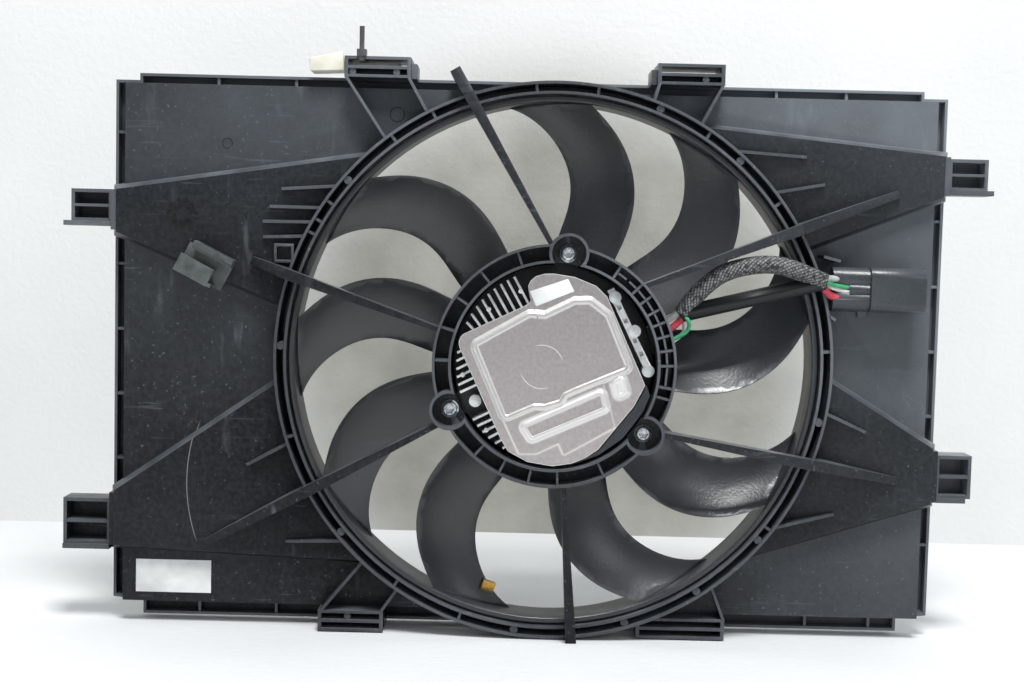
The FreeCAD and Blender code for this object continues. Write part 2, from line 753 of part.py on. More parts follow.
def clip_bracket(label, start, end, low, high, sign, pegs, cheek):
    """A bracket on a flange: an outer bar over an open slot, then a closed pocket with its pegs."""
    outer, inner = (high, low) if sign > 0 else (low, high)
    body_block = block(label, start, end, low, high, size.rail_height / 2, size.bracket_front)
    slot_out = outer - sign * size.bracket_bar
    slot_in = slot_out - sign * size.bracket_slot
    slot_ends = sorted([slot_in, slot_out], key=number)
    slot = block(f"{label}_slot", start + size.bracket_wall, end - size.bracket_wall,
                 slot_ends[0], slot_ends[1], 0.0, size.bracket_front + 1.0)
    well_out = slot_in - sign * size.bracket_bar
    well_ends = sorted([well_out, inner + sign * size.edge_wall], key=number)
    well = block(f"{label}_well", start + size.bracket_wall, end - size.bracket_wall,
                 well_ends[0], well_ends[1], size.bracket_front - size.bracket_pocket, size.bracket_front + 1.0)
    tools = join(f"{label}_tools", [slot, well])
    parts = [cut(f"{label}_open", body_block, tools)]
    for number_of, spot in enumerate(pegs):
        parts.append(post(f"{label}_peg_{number_of}", spot, (well_ends[0] + well_ends[1]) / 2,
                          2.4, size.bracket_front - size.bracket_pocket, size.bracket_front - 1.0))
    if cheek:
        ends = sorted([end - 0.5, end + 4.0] if cheek > 0 else [start - 4.0, start + 0.5], key=number)
        parts.append(block(f"{label}_cheek", ends[0], ends[1], low, high - 4.0, size.rail_height / 2,
                           size.bracket_front - 6.0))
    return join(f"{label}_done", parts) if len(parts) > 1 else parts[0]


brackets = [
    clip_bracket("bracket_top_left", -150.2, -104.0, bracket_line, top + size.bracket_height, 1,
                 (-144.6, -114.0), 1),
    clip_bracket("bracket_top_right", 68.0, 114.8, bracket_line, top + size.bracket_height, 1, (101.5,), -1),
    clip_bracket("bracket_bottom_left", -163.0, -116.5, bottom - 3.0, dish_bottom, -1, (-142.0,), 0),
    clip_bracket("bracket_bottom_right", 64.0, 127.0, bottom - 3.0, dish_bottom, -1, (), 0),
]
# The tongue left in the top left bracket goes in through a window in its side
window = block("tongue_window", -151.2, -146.6, top + size.bracket_height - size.bracket_bar - size.bracket_slot,
               top + size.bracket_height - size.bracket_bar, 12.0, 32.0)
brackets[0] = cut("bracket_with_window", brackets[0], window)
brackets_clear = cut("brackets_at_panel", group("brackets_raw", brackets), panel)
node(cut("brackets_finished", brackets_clear, bore_room), "clip_brackets")
node(cut("ribs_finished", ribs_clear, group("rib_tools", [bore_room, brackets_clear])), "shroud_ribs")

# ---------------------------------------------------------------- fan

hub = body("fan_hub")
revolve(hub, "hub_profile", [
    (size.hub_bore, size.hub_back), (size.hub_outer - 3.0, size.hub_back), (size.hub_outer, size.hub_back + 3.0),
    (size.hub_outer, size.hub_front), (size.hub_outer - size.hub_wall, size.hub_front),
    (size.hub_outer - size.hub_wall, size.hub_back + size.hub_wall + 2.0),
    (size.hub_outer - size.hub_wall - 2.0, size.hub_back + size.hub_wall),
    (size.hub_bore, size.hub_back + size.hub_wall),
])
bell_back = size.hub_back + size.hub_wall + 3.0
fan_boss = sketch(hub, "fan_screw_boss", size.hub_back + size.hub_wall / 2)
circle(fan_boss, *on_circle(size.fan_screw_circle, 90.0), 6.0)
fan_boss_pad = pad(hub, fan_boss, bell_back - size.hub_back - size.hub_wall / 2)
around(hub, [fan_boss_pad], 3)
hub_rib = sketch(hub, "hub_rib", size.hub_back + size.hub_wall / 2)
strip(hub_rib, (0.0, size.hub_bore + 3.0), (0.0, size.hub_outer - size.hub_wall / 2), size.rib)
hub_rib_pad = pad(hub, hub_rib, bell_back - size.hub_back - size.hub_wall / 2 - 0.5)
around(hub, [hub_rib_pad], 9)
fan_hole = sketch(hub, "fan_screw_hole", bell_back + 1.0)
circle(fan_hole, *on_circle(size.fan_screw_circle, 90.0), size.fan_screw_hole + size.fit)
fan_hole_pocket = pocket(hub, fan_hole, size.hub_wall + 6.0)
around(hub, [fan_hole_pocket], 3)

band = body("fan_band")
band_outer = size.band_inner + size.band_wall
revolve(band, "band_profile", [
    (size.band_inner, size.band_back + 1.5), (size.band_inner + 1.0, size.band_back), (band_outer, size.band_back),
    (band_outer, size.band_front - 2.2), (band_outer + size.band_lip - 0.8, size.band_front - 2.2),
    (band_outer + size.band_lip, size.band_front - 1.1), (band_outer + size.band_lip - 0.8, size.band_front),
    (size.band_inner + 0.8, size.band_front), (size.band_inner, size.band_front - 1.0),
])

# Blade stations, root to tip: radius, angle of the trailing edge, angle of the leading edge, both from
# the trailing tip, and the depths of the two edges. The blades sweep forward, and twist flatter outwards.
BLADE_STATIONS = (
    (72.0, -22.0, 8.0, 41.0, 14.0),
    (90.0, -21.0, 5.7, 40.8, 15.0),
    (120.0, -18.0, 3.2, 40.2, 17.0),
    (146.5, -12.0, 7.0, 39.6, 19.0),
    (171.0, -3.0, 14.6, 39.0, 21.0),
    (186.0, 3.5, 24.0, 38.6, 22.0),
)
# The trailing tips are spaced unevenly, which spreads the fan's tone
BLADE_ANGLES = (135.2, 170.6, 207.0, 242.8, 290.4, 326.2, 9.4, 45.5, 82.1)


def blade_frame(radius, trail, lead, trail_depth, lead_depth):
    """The middle, chord, facing and outward directions of a blade section."""
    middle = math.radians((trail + lead) / 2)
    half = radius * math.tan(math.radians((lead - trail) / 2))
    out = Vector(math.cos(middle), 0, math.sin(middle))
    round_way = Vector(-math.sin(middle), 0, math.cos(middle))
    centre = out * radius + Vector(0, -(trail_depth + lead_depth) / 2, 0)
    chord = round_way * (2 * half) + Vector(0, trail_depth - lead_depth, 0)
    facing = chord.cross(out).normalize()
    if facing.y > 0:
        facing = facing * -1
    return centre, chord, facing, out


def blade_section(radius, trail, lead, trail_depth, lead_depth):
    """One aerofoil section, in the plane that touches the cylinder of that radius at mid-chord."""
    centre, chord, facing, out = blade_frame(radius, trail, lead, trail_depth, lead_depth)
    camber = chord.Length * number(size.blade_camber)
    thick = number(size.blade_thickness)
    front = []
    back = []
    for step in range(5):
        along = step / 4
        bulge = 4 * along * (1 - along)
        spine = centre + chord * (along - 0.5) - facing * (camber * bulge)
        half_thick = thick / 2 * (0.42 + 0.58 * bulge)
        front.append(spine + facing * half_thick)
        back.append(spine - facing * half_thick)
    front_curve = Part.BSplineCurve()
    front_curve.interpolate(front)
    back_curve = Part.BSplineCurve()
    back_curve.interpolate(back)
    return Part.Wire([
        front_curve.toShape(), Part.makeLine(front[-1], back[-1]),
        back_curve.toShape().reversed(), Part.makeLine(back[0], front[0]),
    ])


blade_room = Part.makeCylinder(number(size.band_inner), 60, Vector(0, 0, 0), Vector(0, -1, 0)).cut(
    Part.makeCylinder(number(size.hub_outer), 60, Vector(0, 0, 0), Vector(0, -1, 0)))
blade = Part.makeLoft([blade_section(*station) for station in BLADE_STATIONS], True, False).common(blade_room)
blades = []
for angle in BLADE_ANGLES:
    turned = blade.copy()
    turned.rotate(Vector(0, 0, 0), Vector(0, -1, 0), angle)
    blades.append(turned.Solids[0])
free_shape("fan_blades", Part.makeCompound(blades))

# ---------------------------------------------------------------- rotor

bell = body("rotor_bell")
revolve(bell, "bell_profile", [
    (size.shaft_radius, bell_back), (size.bell_outer - 3.0, bell_back), (size.bell_outer, bell_back + 3.0),
    (size.bell_outer, size.bell_front), (size.bell_outer - size.bell_wall, size.bell_front),
    (size.bell_outer - size.bell_wall, bell_back + size.bell_wall + 1.0),
    (size.bell_outer - size.bell_wall - 1.0, bell_back + size.bell_wall),
    (size.shaft_radius + 5.0, bell_back + size.bell_wall), (size.shaft_radius + 5.0, bell_back + 4.0),
    (size.shaft_radius, bell_back + 4.0),
])
vent = sketch(bell, "bell_vent", bell_back + 5.0)
circle(vent, *on_circle(46.0, 20.0), 5.5)
vent_pocket = pocket(bell, vent, 6.0)
around(bell, [vent_pocket], 6)
tapped = sketch(bell, "bell_screw_hole", bell_back + 5.0)
circle(tapped, *on_circle(size.fan_screw_circle, 90.0), size.fan_screw_hole)
tapped_pocket = pocket(bell, tapped, 6.0)
around(bell, [tapped_pocket], 3)

magnets = body("rotor_magnets")
magnet_outer = size.bell_outer - size.bell_wall
magnet_inner = magnet_outer - size.magnet_thickness
revolve(magnets, "magnet_ring", [
    (magnet_inner, size.magnet_back), (magnet_outer, size.magnet_back),
    (magnet_outer, size.magnet_front), (magnet_inner, size.magnet_front),
])
seam = sketch(magnets, "magnet_seam", size.magnet_front)
strip(seam, (0.0, magnet_inner - 1.0), (0.0, magnet_inner + 1.2), 1.6)
seam_pocket = pocket(magnets, seam, size.magnet_front - size.magnet_back)
around(magnets, [seam_pocket], 14)

front_bearing_back = size.flange_back - size.bearing_height + 2.8
clip_back = front_bearing_back + size.bearing_height + size.fit
clip_front = clip_back + 1.0
shaft = body("motor_shaft")
revolve(shaft, "shaft_profile", [
    (0.0, size.shaft_back), (size.shaft_radius - 0.8, size.shaft_back),
    (size.shaft_radius, size.shaft_back + 0.8), (size.shaft_radius, clip_back),
    (size.shaft_radius - size.clip_groove, clip_back), (size.shaft_radius - size.clip_groove, clip_front),
    (size.shaft_radius, clip_front), (size.shaft_radius - 0.3, size.shaft_front), (0.0, size.shaft_front),
])

circlip = body("shaft_circlip")
revolve(circlip, "circlip_profile", [
    (size.shaft_radius - size.clip_groove, clip_back), (size.shaft_radius + 1.6, clip_back),
    (size.shaft_radius + 1.6, clip_front), (size.shaft_radius - size.clip_groove, clip_front),
])

# ---------------------------------------------------------------- stator

core = body("stator_core")
stator_outer = magnet_inner - size.air_gap
revolve(core, "core_yoke", [
    (size.tube_outer, size.stator_back), (size.tube_outer + 12.0, size.stator_back),
    (size.tube_outer + 12.0, size.stator_front), (size.tube_outer, size.stator_front),
])
tooth = sketch(core, "core_tooth", size.stator_back)
strip(tooth, (0.0, size.tube_outer + 10.0), (0.0, stator_outer - size.tooth_shoe / 2), size.tooth_width)
tooth_pad = pad(core, tooth, size.stator_front - size.stator_back)
shoe = sketch(core, "core_shoe", size.stator_back)
strip(shoe, (-size.tooth_width * 1.2, stator_outer - size.tooth_shoe), (size.tooth_width * 1.2, stator_outer - size.tooth_shoe),
      size.tooth_shoe)
shoe_pad = pad(core, shoe, size.stator_front - size.stator_back)
around(core, [tooth_pad, shoe_pad], 12)

# One coil on each tooth, as a rectangular sleeve round it
coils = doc.addObject("PartDesign::Body", "coil_seed")
coil_inner = size.tube_outer + 13.0
coil_outer = stator_outer - size.tooth_shoe * 2
coil = sketch(coils, "coil", size.stator_back - size.coil_margin)
strip(coil, (0.0, coil_inner), (0.0, coil_outer), size.tooth_width + size.coil_margin * 2)
coil_pad = pad(coils, coil, size.stator_front - size.stator_back + size.coil_margin * 2)
slot_cut = sketch(coils, "coil_core", size.stator_front)
strip(slot_cut, (0.0, coil_inner - 1.0), (0.0, coil_outer + 1.0), size.tooth_width)
slot_pocket = pocket(coils, slot_cut, size.stator_front - size.stator_back)
coils.Tip = slot_pocket


def turned_to(radius, angle):
    """A point on a circle, for pieces whose shape is made directly."""
    return number(radius) * math.cos(math.radians(angle)), number(radius) * math.sin(math.radians(angle))


# A small metal clip on the leading edge of one blade balances the fan
centre, chord, facing, out = blade_frame(168.0, -4.1, 13.7, 39.1, 20.8)
edge_point = centre + chord * 0.5
along = Vector(chord).normalize()
weight = Part.makeBox(10.0, 5.0, 7.0)
weight.Placement = Placement(edge_point - along * 8.5 - facing * 2.5 - out * 3.5,
                             Rotation(along, facing, along.cross(facing), "XYZ"))
for nudge in (facing * 0.3, facing * -0.3, along * 0.3, along * 0.0):
    near = blade.copy()
    near.translate(nudge)
    weight = weight.cut(near)
weight.rotate(Vector(0, 0, 0), Vector(0, -1, 0), BLADE_ANGLES[3])
free_shape("balance_clip", Part.makeCompound([max(weight.Solids, key=lambda solid: solid.Volume)]))

fan_screw_parts = []
for number_of in range(3):
    spot = on_circle(size.fan_screw_circle, 90.0 + 120.0 * number_of)
    head = post(f"fan_screw_head_{number_of}", *spot, size.fan_screw_hole + 2.2, size.hub_back - 2.6, size.hub_back)
    shank = post(f"fan_screw_shank_{number_of}", *spot, size.fan_screw_hole, size.hub_back - 0.5,
                 bell_back + size.bell_wall + 0.6)
    fan_screw_parts.append(join(f"fan_screw_{number_of}", [head, shank]))
node(group("fan_screws_all", fan_screw_parts), "fan_screws")

# ---------------------------------------------------------------- motor housing and lid

def lid_spot(u, v):
    """A point on the lid in its own turned axes. It scales with the housing, whose radius is 68.8 here."""
    return size.housing_radius * (u / 68.8), size.housing_radius * (v / 68.8)


def lid_shape(spots, inset=0.0):
    """Corners of an outline on the lid, drawn in towards the middle by a share of its size."""
    return [lid_spot(u * (1 - inset), v * (1 - inset)) for u, v in spots]


LID = (
    (3.6, 57.6), (11.1, 61.8), (23.0, 59.0), (35.5, 51.5), (46.8, 40.5), (50.9, 31.1), (53.0, -34.9),
    (40.4, -45.6), (7.2, -64.0), (-13.4, -66.4), (-26.5, -63.2), (-41.2, -54.1), (-50.9, -42.3),
    (-52.3, -32.6), (-55.2, 35.4), (-54.0, 40.1), (-49.4, 43.5), (-2.9, 45.9), (1.8, 48.0),
)
LID_MAIN = (
    (-44.8, 35.3), (-2.4, 40.7), (7.2, 35.5), (29.8, 37.0), (39.8, 33.0), (47.5, 19.6), (47.8, -19.6),
    (43.1, -20.6), (6.8, -20.6), (-2.4, -20.9), (-6.5, -23.5), (-16.4, -23.2), (-23.1, -20.5), (-44.3, -21.3),
)
LID_CHANNEL = ((-37.6, -26.6), (27.4, -24.0), (25.5, -43.5), (-35.9, -44.1))
LID_SLOT = ((32.8, -24.6), (40.9, -23.8), (40.1, -36.2), (32.0, -36.9))
turn = DIMENSIONS["lid_turn"]

housing = body("motor_housing")
revolve(housing, "housing_profile", [
    (size.bearing_outer, size.bearing_back - 0.5), (size.tube_outer, size.bearing_back - 0.5),
    (size.tube_outer, size.flange_back), (size.housing_radius, size.flange_back),
    (size.housing_radius, size.flange_front), (size.bearing_outer, size.flange_front),
    (size.bearing_outer, front_bearing_back), (size.bearing_outer - 2.0, front_bearing_back),
    (size.bearing_outer - 2.0, size.bearing_back + size.bearing_height),
    (size.bearing_outer, size.bearing_back + size.bearing_height),
])
ears = sketch(housing, "housing_ear", size.flange_back)
circle(ears, *screw_spot, size.ear_radius)
ear_pad = pad(housing, ears, size.flange_front - size.flange_back)
around(housing, [ear_pad], 3)
webs = sketch(housing, "ear_web", size.flange_back)
strip(webs, on_circle(size.housing_radius - 6.0, size.screw_angle), screw_spot, size.ear_radius * 2)
web_pad = pad(housing, webs, size.flange_front - size.flange_back)
around(housing, [web_pad], 3)
ear_hole = sketch(housing, "ear_hole", size.flange_front + 1.0)
circle(ear_hole, *screw_spot, size.screw_radius)
ear_hole_pocket = pocket(housing, ear_hole, size.flange_front - size.flange_back + 2.0)
around(housing, [ear_hole_pocket], 3)

tray = sketch(housing, "housing_tray", size.flange_front - 0.5, turn=turn)
outline(tray, lid_shape(LID, 0.012))
pad(housing, tray, size.housing_front - size.flange_front + 0.5)
cavity = sketch(housing, "housing_cavity", size.housing_front, turn=turn)
outline(cavity, lid_shape(LID, 0.075))
pocket(housing, cavity, size.housing_front - size.cavity_floor)
BOARD_POSTS = ((-38.0, 30.0), (36.0, 28.0), (38.0, -30.0), (-36.0, -38.0))
posts = sketch(housing, "board_posts", size.cavity_floor - 0.5, turn=turn)
for spot in BOARD_POSTS:
    circle(posts, *lid_spot(*spot), 3.0)
pad(housing, posts, size.board_back - size.cavity_floor + 0.5)

# Cooling fins on the flange, beside the tray
fins = sketch(housing, "housing_fins", size.flange_front - 0.5, turn=turn)
for step in range(9):
    across = -0.2 - 5.2 * step
    reach = math.sqrt(66.8 ** 2 - (across - 2.6) ** 2)
    strip(fins, lid_spot(across, 43.0), lid_spot(across - 2.6, reach), size.heat_fin)
for height in (33.9, 28.8, 23.6, 18.4, 13.1, 7.9, -12.9, -18.0, -23.2, -28.4, -33.6, -38.8):
    reach = math.sqrt(66.8 ** 2 - (height - 1.0) ** 2)
    strip(fins, lid_spot(-49.5, height), lid_spot(-reach, height - 1.0), size.heat_fin)
pad(housing, fins, size.housing_front - size.flange_front - 1.5)
pins = sketch(housing, "housing_pins", size.flange_front - 0.5, turn=turn)
for spot in ((-2.3, 56.0), (-27.2, 52.5), (-60.3, 17.5), (-59.3, -23.8)):
    circle(pins, *lid_spot(*spot), size.heat_fin)
pad(housing, pins, size.housing_front - size.flange_front - 0.5)
lugs = sketch(housing, "housing_lugs", size.flange_front - 0.5, turn=turn)
strip(lugs, lid_spot(55.2, 34.5), lid_spot(59.4, -28.0), 5.0)
pad(housing, lugs, size.housing_front - size.flange_front - 3.0)
lug_posts = sketch(housing, "lug_posts", size.flange_front - 0.5, turn=turn)
for spot in ((56.0, 28.3), (60.0, 1.9), (58.6, -27.0), (-59.0, -2.4)):
    circle(lug_posts, *lid_spot(*spot), 4.2)
pad(housing, lug_posts, size.housing_front - size.flange_front - 1.5)
lug_holes = sketch(housing, "lug_holes", size.housing_front, turn=turn)
for along_bar in (0.22, 0.38, 0.62, 0.78):
    u, v = 55.2 + 4.2 * along_bar, 34.5 - 62.5 * along_bar
    x, y = lid_spot(u, v)
    rectangle(lug_holes, x - 1.3, x + 1.3, y - 1.6, y + 1.6)
pocket(housing, lug_holes, 8.0)

gasket = body("lid_gasket")
seal = sketch(gasket, "gasket_outline", size.housing_front, turn=turn)
outline(seal, lid_shape(LID, 0.014))
pad(gasket, seal, size.gasket)
seal_inside = sketch(gasket, "gasket_inside", size.housing_front + size.gasket, turn=turn)
outline(seal_inside, lid_shape(LID, 0.07))
pocket(gasket, seal_inside, size.gasket)

lid = body("motor_lid")
lid_back = size.housing_front + size.gasket
lid_face = lid_back + size.lid_plate
plate = sketch(lid, "lid_plate_outline", lid_back, turn=turn)
outline(plate, lid_shape(LID))
pad(lid, plate, size.lid_plate)
raised = sketch(lid, "lid_main", lid_face - 0.2, turn=turn)
outline(raised, lid_shape(LID_MAIN))
pad(lid, raised, size.lid_emboss + 0.2, -30.0)
raised_channel = sketch(lid, "lid_channel", lid_face - 0.2, turn=turn)
outline(raised_channel, lid_shape(LID_CHANNEL))
pad(lid, raised_channel, size.lid_emboss * 0.6, -30.0)
raised_slot = sketch(lid, "lid_slot", lid_face, turn=turn)
outline(raised_slot, lid_shape(LID_SLOT))
pocket(lid, raised_slot, 0.8)
pressed = sketch(lid, "lid_pressed", lid_back, turn=turn)
outline(pressed, lid_shape(LID_MAIN, 0.09))
pocket(lid, pressed, size.lid_emboss, from_radiator=True)

cover = body("motor_cover")
segment = sketch(cover, "cover_outline", size.flange_front, turn=turn)
outline(segment, [lid_spot(*spot) for spot in (
    (53.8, -35.6), (53.6, -42.8), (45.0, -51.5), (25.0, -63.4), (6.0, -67.9), (-10.0, -67.4),
    (-12.5, -66.9), (7.6, -64.5), (40.9, -46.1),
)])
pad(cover, segment, size.housing_front - size.flange_front + 1.5)

board = body("control_board")
board_outline = sketch(board, "board_outline", size.board_back, turn=turn)
outline(board_outline, lid_shape(LID, 0.11))
pad(board, board_outline, size.board_thickness)
board_front = size.board_back + size.board_thickness
CAPACITORS = ((-30.0, 12.0), (-17.0, 12.0), (-4.0, 12.0))


def on_lid(u, v):
    """A lid point turned into the part's own X and Z."""
    x, y = lid_spot(u, v)
    angle = Size(turn, "Sizes.lid_turn")
    return x * cosine(angle) - y * sine(angle), x * sine(angle) + y * cosine(angle)


node(group("capacitors_all", [
    post(f"capacitor_{number_of}", *on_lid(*spot), 5.0, board_front, size.housing_front - 0.5)
    for number_of, spot in enumerate(CAPACITORS)
]), "board_capacitors")

for label, back in (("rear_bearing", size.bearing_back), ("front_bearing", front_bearing_back)):
    race = body(label)
    inner_race = size.shaft_radius + 0.05
    middle = (inner_race + size.bearing_outer) / 2
    revolve(race, f"{label}_profile", [
        (inner_race, back), (middle - 1.2, back), (middle - 1.2, back + 0.5), (middle + 1.2, back + 0.5),
        (middle + 1.2, back), (size.bearing_outer, back), (size.bearing_outer, back + size.bearing_height),
        (middle + 1.2, back + size.bearing_height), (middle + 1.2, back + size.bearing_height - 0.5),
        (middle - 1.2, back + size.bearing_height - 0.5), (middle - 1.2, back + size.bearing_height),
        (inner_race, back + size.bearing_height),
    ])

# Bushes and screws that hold the motor to the carrier
bush_parts = []
screw_parts = []
for number_of in range(3):
    spot = on_circle(size.screw_circle, size.screw_angle + 120.0 * number_of)
    bush_parts.append(cut(
        f"bush_{number_of}",
        post(f"bush_out_{number_of}", *spot, size.screw_radius + size.fit + size.bush_wall, size.flange_front,
             size.boss_seat),
        post(f"bush_in_{number_of}", *spot, size.screw_radius + size.fit, size.flange_front - 1.0,
             size.boss_seat + 1.0)))
    shank = post(f"screw_shank_{number_of}", *spot, size.screw_radius, size.flange_back + 0.5, size.boss_seat + 1.0)
    washer = post(f"screw_washer_{number_of}", *spot, size.screw_washer, size.boss_seat, size.boss_seat + 1.2)
    head = post(f"screw_head_{number_of}", *spot, size.screw_head, size.boss_seat + 1.0,
                size.boss_seat + size.screw_head_height)
    socket = doc.addObject("Part::Prism", f"screw_socket_{number_of}")
    socket.Polygon = 6
    bind(socket, "Circumradius", size.screw_head * 0.52)
    bind(socket, "Height", size.screw_head_height)
    x, z = spot
    socket.Placement = Placement(Vector(number(x), -number(size.boss_seat + 1.8), number(z)), UPRIGHT)
    for axis, amount in (("x", x), ("y", -(size.boss_seat + 1.8)), ("z", z)):
        socket.setExpression(f".Placement.Base.{axis}", amount.text)
    screw_parts.append(cut(f"screw_{number_of}", join(f"screw_solid_{number_of}", [shank, washer, head]), socket))
node(group("bushes_all", bush_parts), "carrier_bushes")
node(group("motor_screws_all", screw_parts), "motor_screws")

# ---------------------------------------------------------------- lead and connector

SLEEVE_ROUTE = (
    (88.2, 37.1, 52.0), (95.0, 48.2, 52.5), (105.2, 58.6, 54.0), (113.4, 65.2, 55.0), (124.6, 69.8, 56.0),
    (138.5, 72.6, 57.0), (150.2, 73.0, 57.0), (161.5, 70.6, 57.0), (174.0, 66.0, 55.0), (185.5, 61.5, 52.2),
)
sleeve_route = [point(*spot) for spot in SLEEVE_ROUTE]


def beside(route, sideways, forward):
    """A route moved off another one, sideways in the plane of the shroud and towards the engine."""
    moved = []
    for index, spot in enumerate(route):
        before = route[max(index - 1, 0)]
        after = route[min(index + 1, len(route) - 1)]
        heading = (after - before).normalize()
        side = heading.cross(Vector(0, -1, 0)).normalize()
        up = side.cross(heading).normalize()
        moved.append(spot + side * sideways + up * forward)
    return moved


power = number(size.power_lead_radius)
signal = number(size.signal_lead_radius)
pair = power + 0.05
above = math.sqrt((power + signal + 0.1) ** 2 - pair ** 2) + 0.3
motor_side = number(size.housing_radius)
LEADS = {
    "power_lead_red": (power, pair, 0.0, [(turned_to(motor_side, 14.0), 50.5), ((80.5, 26.0), 50.5)],
                       [(191.5, 51.6, 46.0), (201.0, 50.2, 44.0)]),
    "power_lead_grey": (power, -pair, 0.0, [(turned_to(motor_side, 21.5), 50.5), ((79.8, 33.5), 50.8)],
                        [(191.5, 63.8, 47.0), (201.0, 64.0, 43.5)]),
    "signal_lead_green": (signal, 0.0, above, [(turned_to(motor_side, 9.0), 51.8), ((82.0, 18.8), 51.8),
                                               ((92.0, 24.6), 53.6), ((93.6, 31.6), 57.0)],
                          [(194.0, 59.4, 48.2), (203.0, 58.2, 45.2), (211.0, 58.2, 43.5)]),
    "signal_lead_white": (signal, 0.0, -above, [(turned_to(motor_side, 9.0), 48.8), ((82.5, 16.6), 47.4),
                                                ((91.2, 24.4), 46.2), ((90.4, 31.4), 46.6)],
                          [(192.0, 57.5, 46.7), (202.0, 55.2, 44.6), (211.0, 54.9, 43.5)]),
}
lead_shapes = {}
for name, (radius, sideways, forward, start, finish) in LEADS.items():
    route = [point(x, z, depth) for (x, z), depth in start]
    route += beside(sleeve_route, sideways, forward)
    route += [point(*spot) for spot in finish]
    lead_shapes[name] = tube(route, radius)
all_leads = Part.makeCompound(list(lead_shapes.values()))
free_shape("braided_sleeve", tube(sleeve_route, number(size.sleeve_radius), number(size.sleeve_bore)))

# The grommet on the motor's flange, round the four leads
grommet = Part.makeBox(7.5, 6.8, 19.0)
grommet.Placement = Placement(Vector(0, 0, 0), Rotation(Vector(0, -1, 0), 15.0))
x, z = turned_to(motor_side - 1.5, 15.0)
across_x, across_z = turned_to(9.5, 105.0)
grommet.translate(point(x - across_x, z - across_z, number(size.flange_front) - 0.3))
grommet_shape = grommet

# Connector: a rounded shell with its mouth to the right, and lobes at the back for the leads


def rounded(left_x, right_x, low, high, back, front, corner):
    """A block with its four edges along X rounded."""
    made = Part.makeBox(right_x - left_x, front - back, high - low, point(left_x, low, front))
    edges = [edge for edge in made.Edges if abs(edge.tangentAt(edge.FirstParameter).x) > 0.9]
    return made.makeFillet(corner, edges)


def rod(left_x, right_x, z, depth, radius):
    """A round rod along X."""
    return Part.makeCylinder(radius, right_x - left_x, point(left_x, z, depth), Vector(1, 0, 0))


x_back, x_step, x_mouth = number(size.plug_left), number(size.plug_shoulder), number(size.plug_right)
mid_z, mid_d = number(size.plug_centre_height), number(size.plug_centre_depth)
half_z, half_d = number(size.plug_half_height), number(size.plug_half_depth)
lobe = number(size.plug_lobe)
shell = number(size.plug_wall)
x_floor = x_mouth - number(size.plug_mouth)
plug = rounded(x_step, x_mouth, mid_z - half_z, mid_z + half_z, mid_d - half_d, mid_d + half_d,
               number(size.plug_corner))
for lobe_z, lobe_d, lobe_radius, lobe_x in (
        (mid_z + half_z - lobe, mid_d, lobe, x_back), (mid_z - half_z + lobe, mid_d, lobe, x_back),
        (mid_z, mid_d + lobe - 4.3, 4.5, x_back + 11.5)):
    plug = plug.fuse(rod(lobe_x, x_step + 1.0, lobe_z, lobe_d, lobe_radius))
mouth_shape = rounded(x_floor, x_mouth + 1.0, mid_z - half_z + shell, mid_z + half_z - shell,
                      mid_d - half_d + shell, mid_d + half_d - shell, number(size.plug_corner) - shell)
plug = plug.cut(mouth_shape)
terminals = []
for pin_z, half_height, half_width in ((mid_z + 8.0, 1.6, 3.2), (mid_z - 8.0, 1.6, 3.2),
                                       (mid_z + 1.8, 0.6, 0.6), (mid_z - 1.8, 0.6, 0.6)):
    terminals.append(Part.makeBox(24.0, half_width * 2, half_height * 2,
                                  point(x_floor - 5.0, pin_z - half_height, mid_d + half_width)))
plug = plug.cut(Part.makeCompound(terminals)).cut(all_leads)
free_shape("connector_housing", plug.Solids[0] if len(plug.Solids) == 1 else plug)
free_shape("connector_terminals", Part.makeCompound(terminals))
seal_ring = rounded(x_floor, x_floor + 2.5, mid_z - half_z + shell, mid_z + half_z - shell,
                    mid_d - half_d + shell, mid_d + half_d - shell, number(size.plug_corner) - shell)
seal_ring = seal_ring.cut(rounded(x_floor - 1.0, x_floor + 3.5, mid_z - half_z + shell + 1.6, mid_z + half_z - shell - 1.6,
                                  mid_d - half_d + shell + 1.6, mid_d + half_d - shell - 1.6, 2.6))
free_shape("connector_seal", seal_ring)

foot = block("foot_body", size.plug_shoulder - 6.0, size.plug_right - 10.0, size.plug_centre_height - 9.0,
             size.plug_centre_height + 9.0, size.panel_front, size.plug_centre_depth - size.plug_half_depth)
tongue = block("foot_tongue", size.plug_shoulder - 3.0, size.plug_shoulder + 5.0, size.plug_centre_height - 20.0,
               size.plug_centre_height - 8.0, size.panel_front, size.panel_front + 3.0)
node(join("foot_joined", [foot, tongue]), "connector_clip")

# ---------------------------------------------------------------- clips, tie and labels on the panel

on_plateau = size.wing_front
clip_base = bar("clip_base", (-262.0, 69.4), (-231.0, 53.6), (20.5, on_plateau, on_plateau + 3.0),
                (20.5, on_plateau, on_plateau + 3.0))
clip_wall = bar("clip_wall", (-253.0, 75.8), (-226.0, 62.2), (2.4, on_plateau, 46.0), (2.4, on_plateau, 46.0))
clip_rail = bar("clip_rail", (-252.0, 78.4), (-224.6, 64.8), (3.4, 36.0, 48.0), (3.4, 36.0, 48.0))
clip_far = bar("clip_far", (-266.0, 61.0), (-240.6, 48.0), (2.4, on_plateau, 45.0), (2.4, on_plateau, 45.0))
clip_front = bar("clip_front", (-264.0, 65.4), (-241.0, 53.6), (13.0, 42.5, 45.0), (13.0, 42.5, 45.0))
node(join("harness_clip_joined", [clip_base, clip_wall, clip_rail, clip_far, clip_front]), "harness_clip")

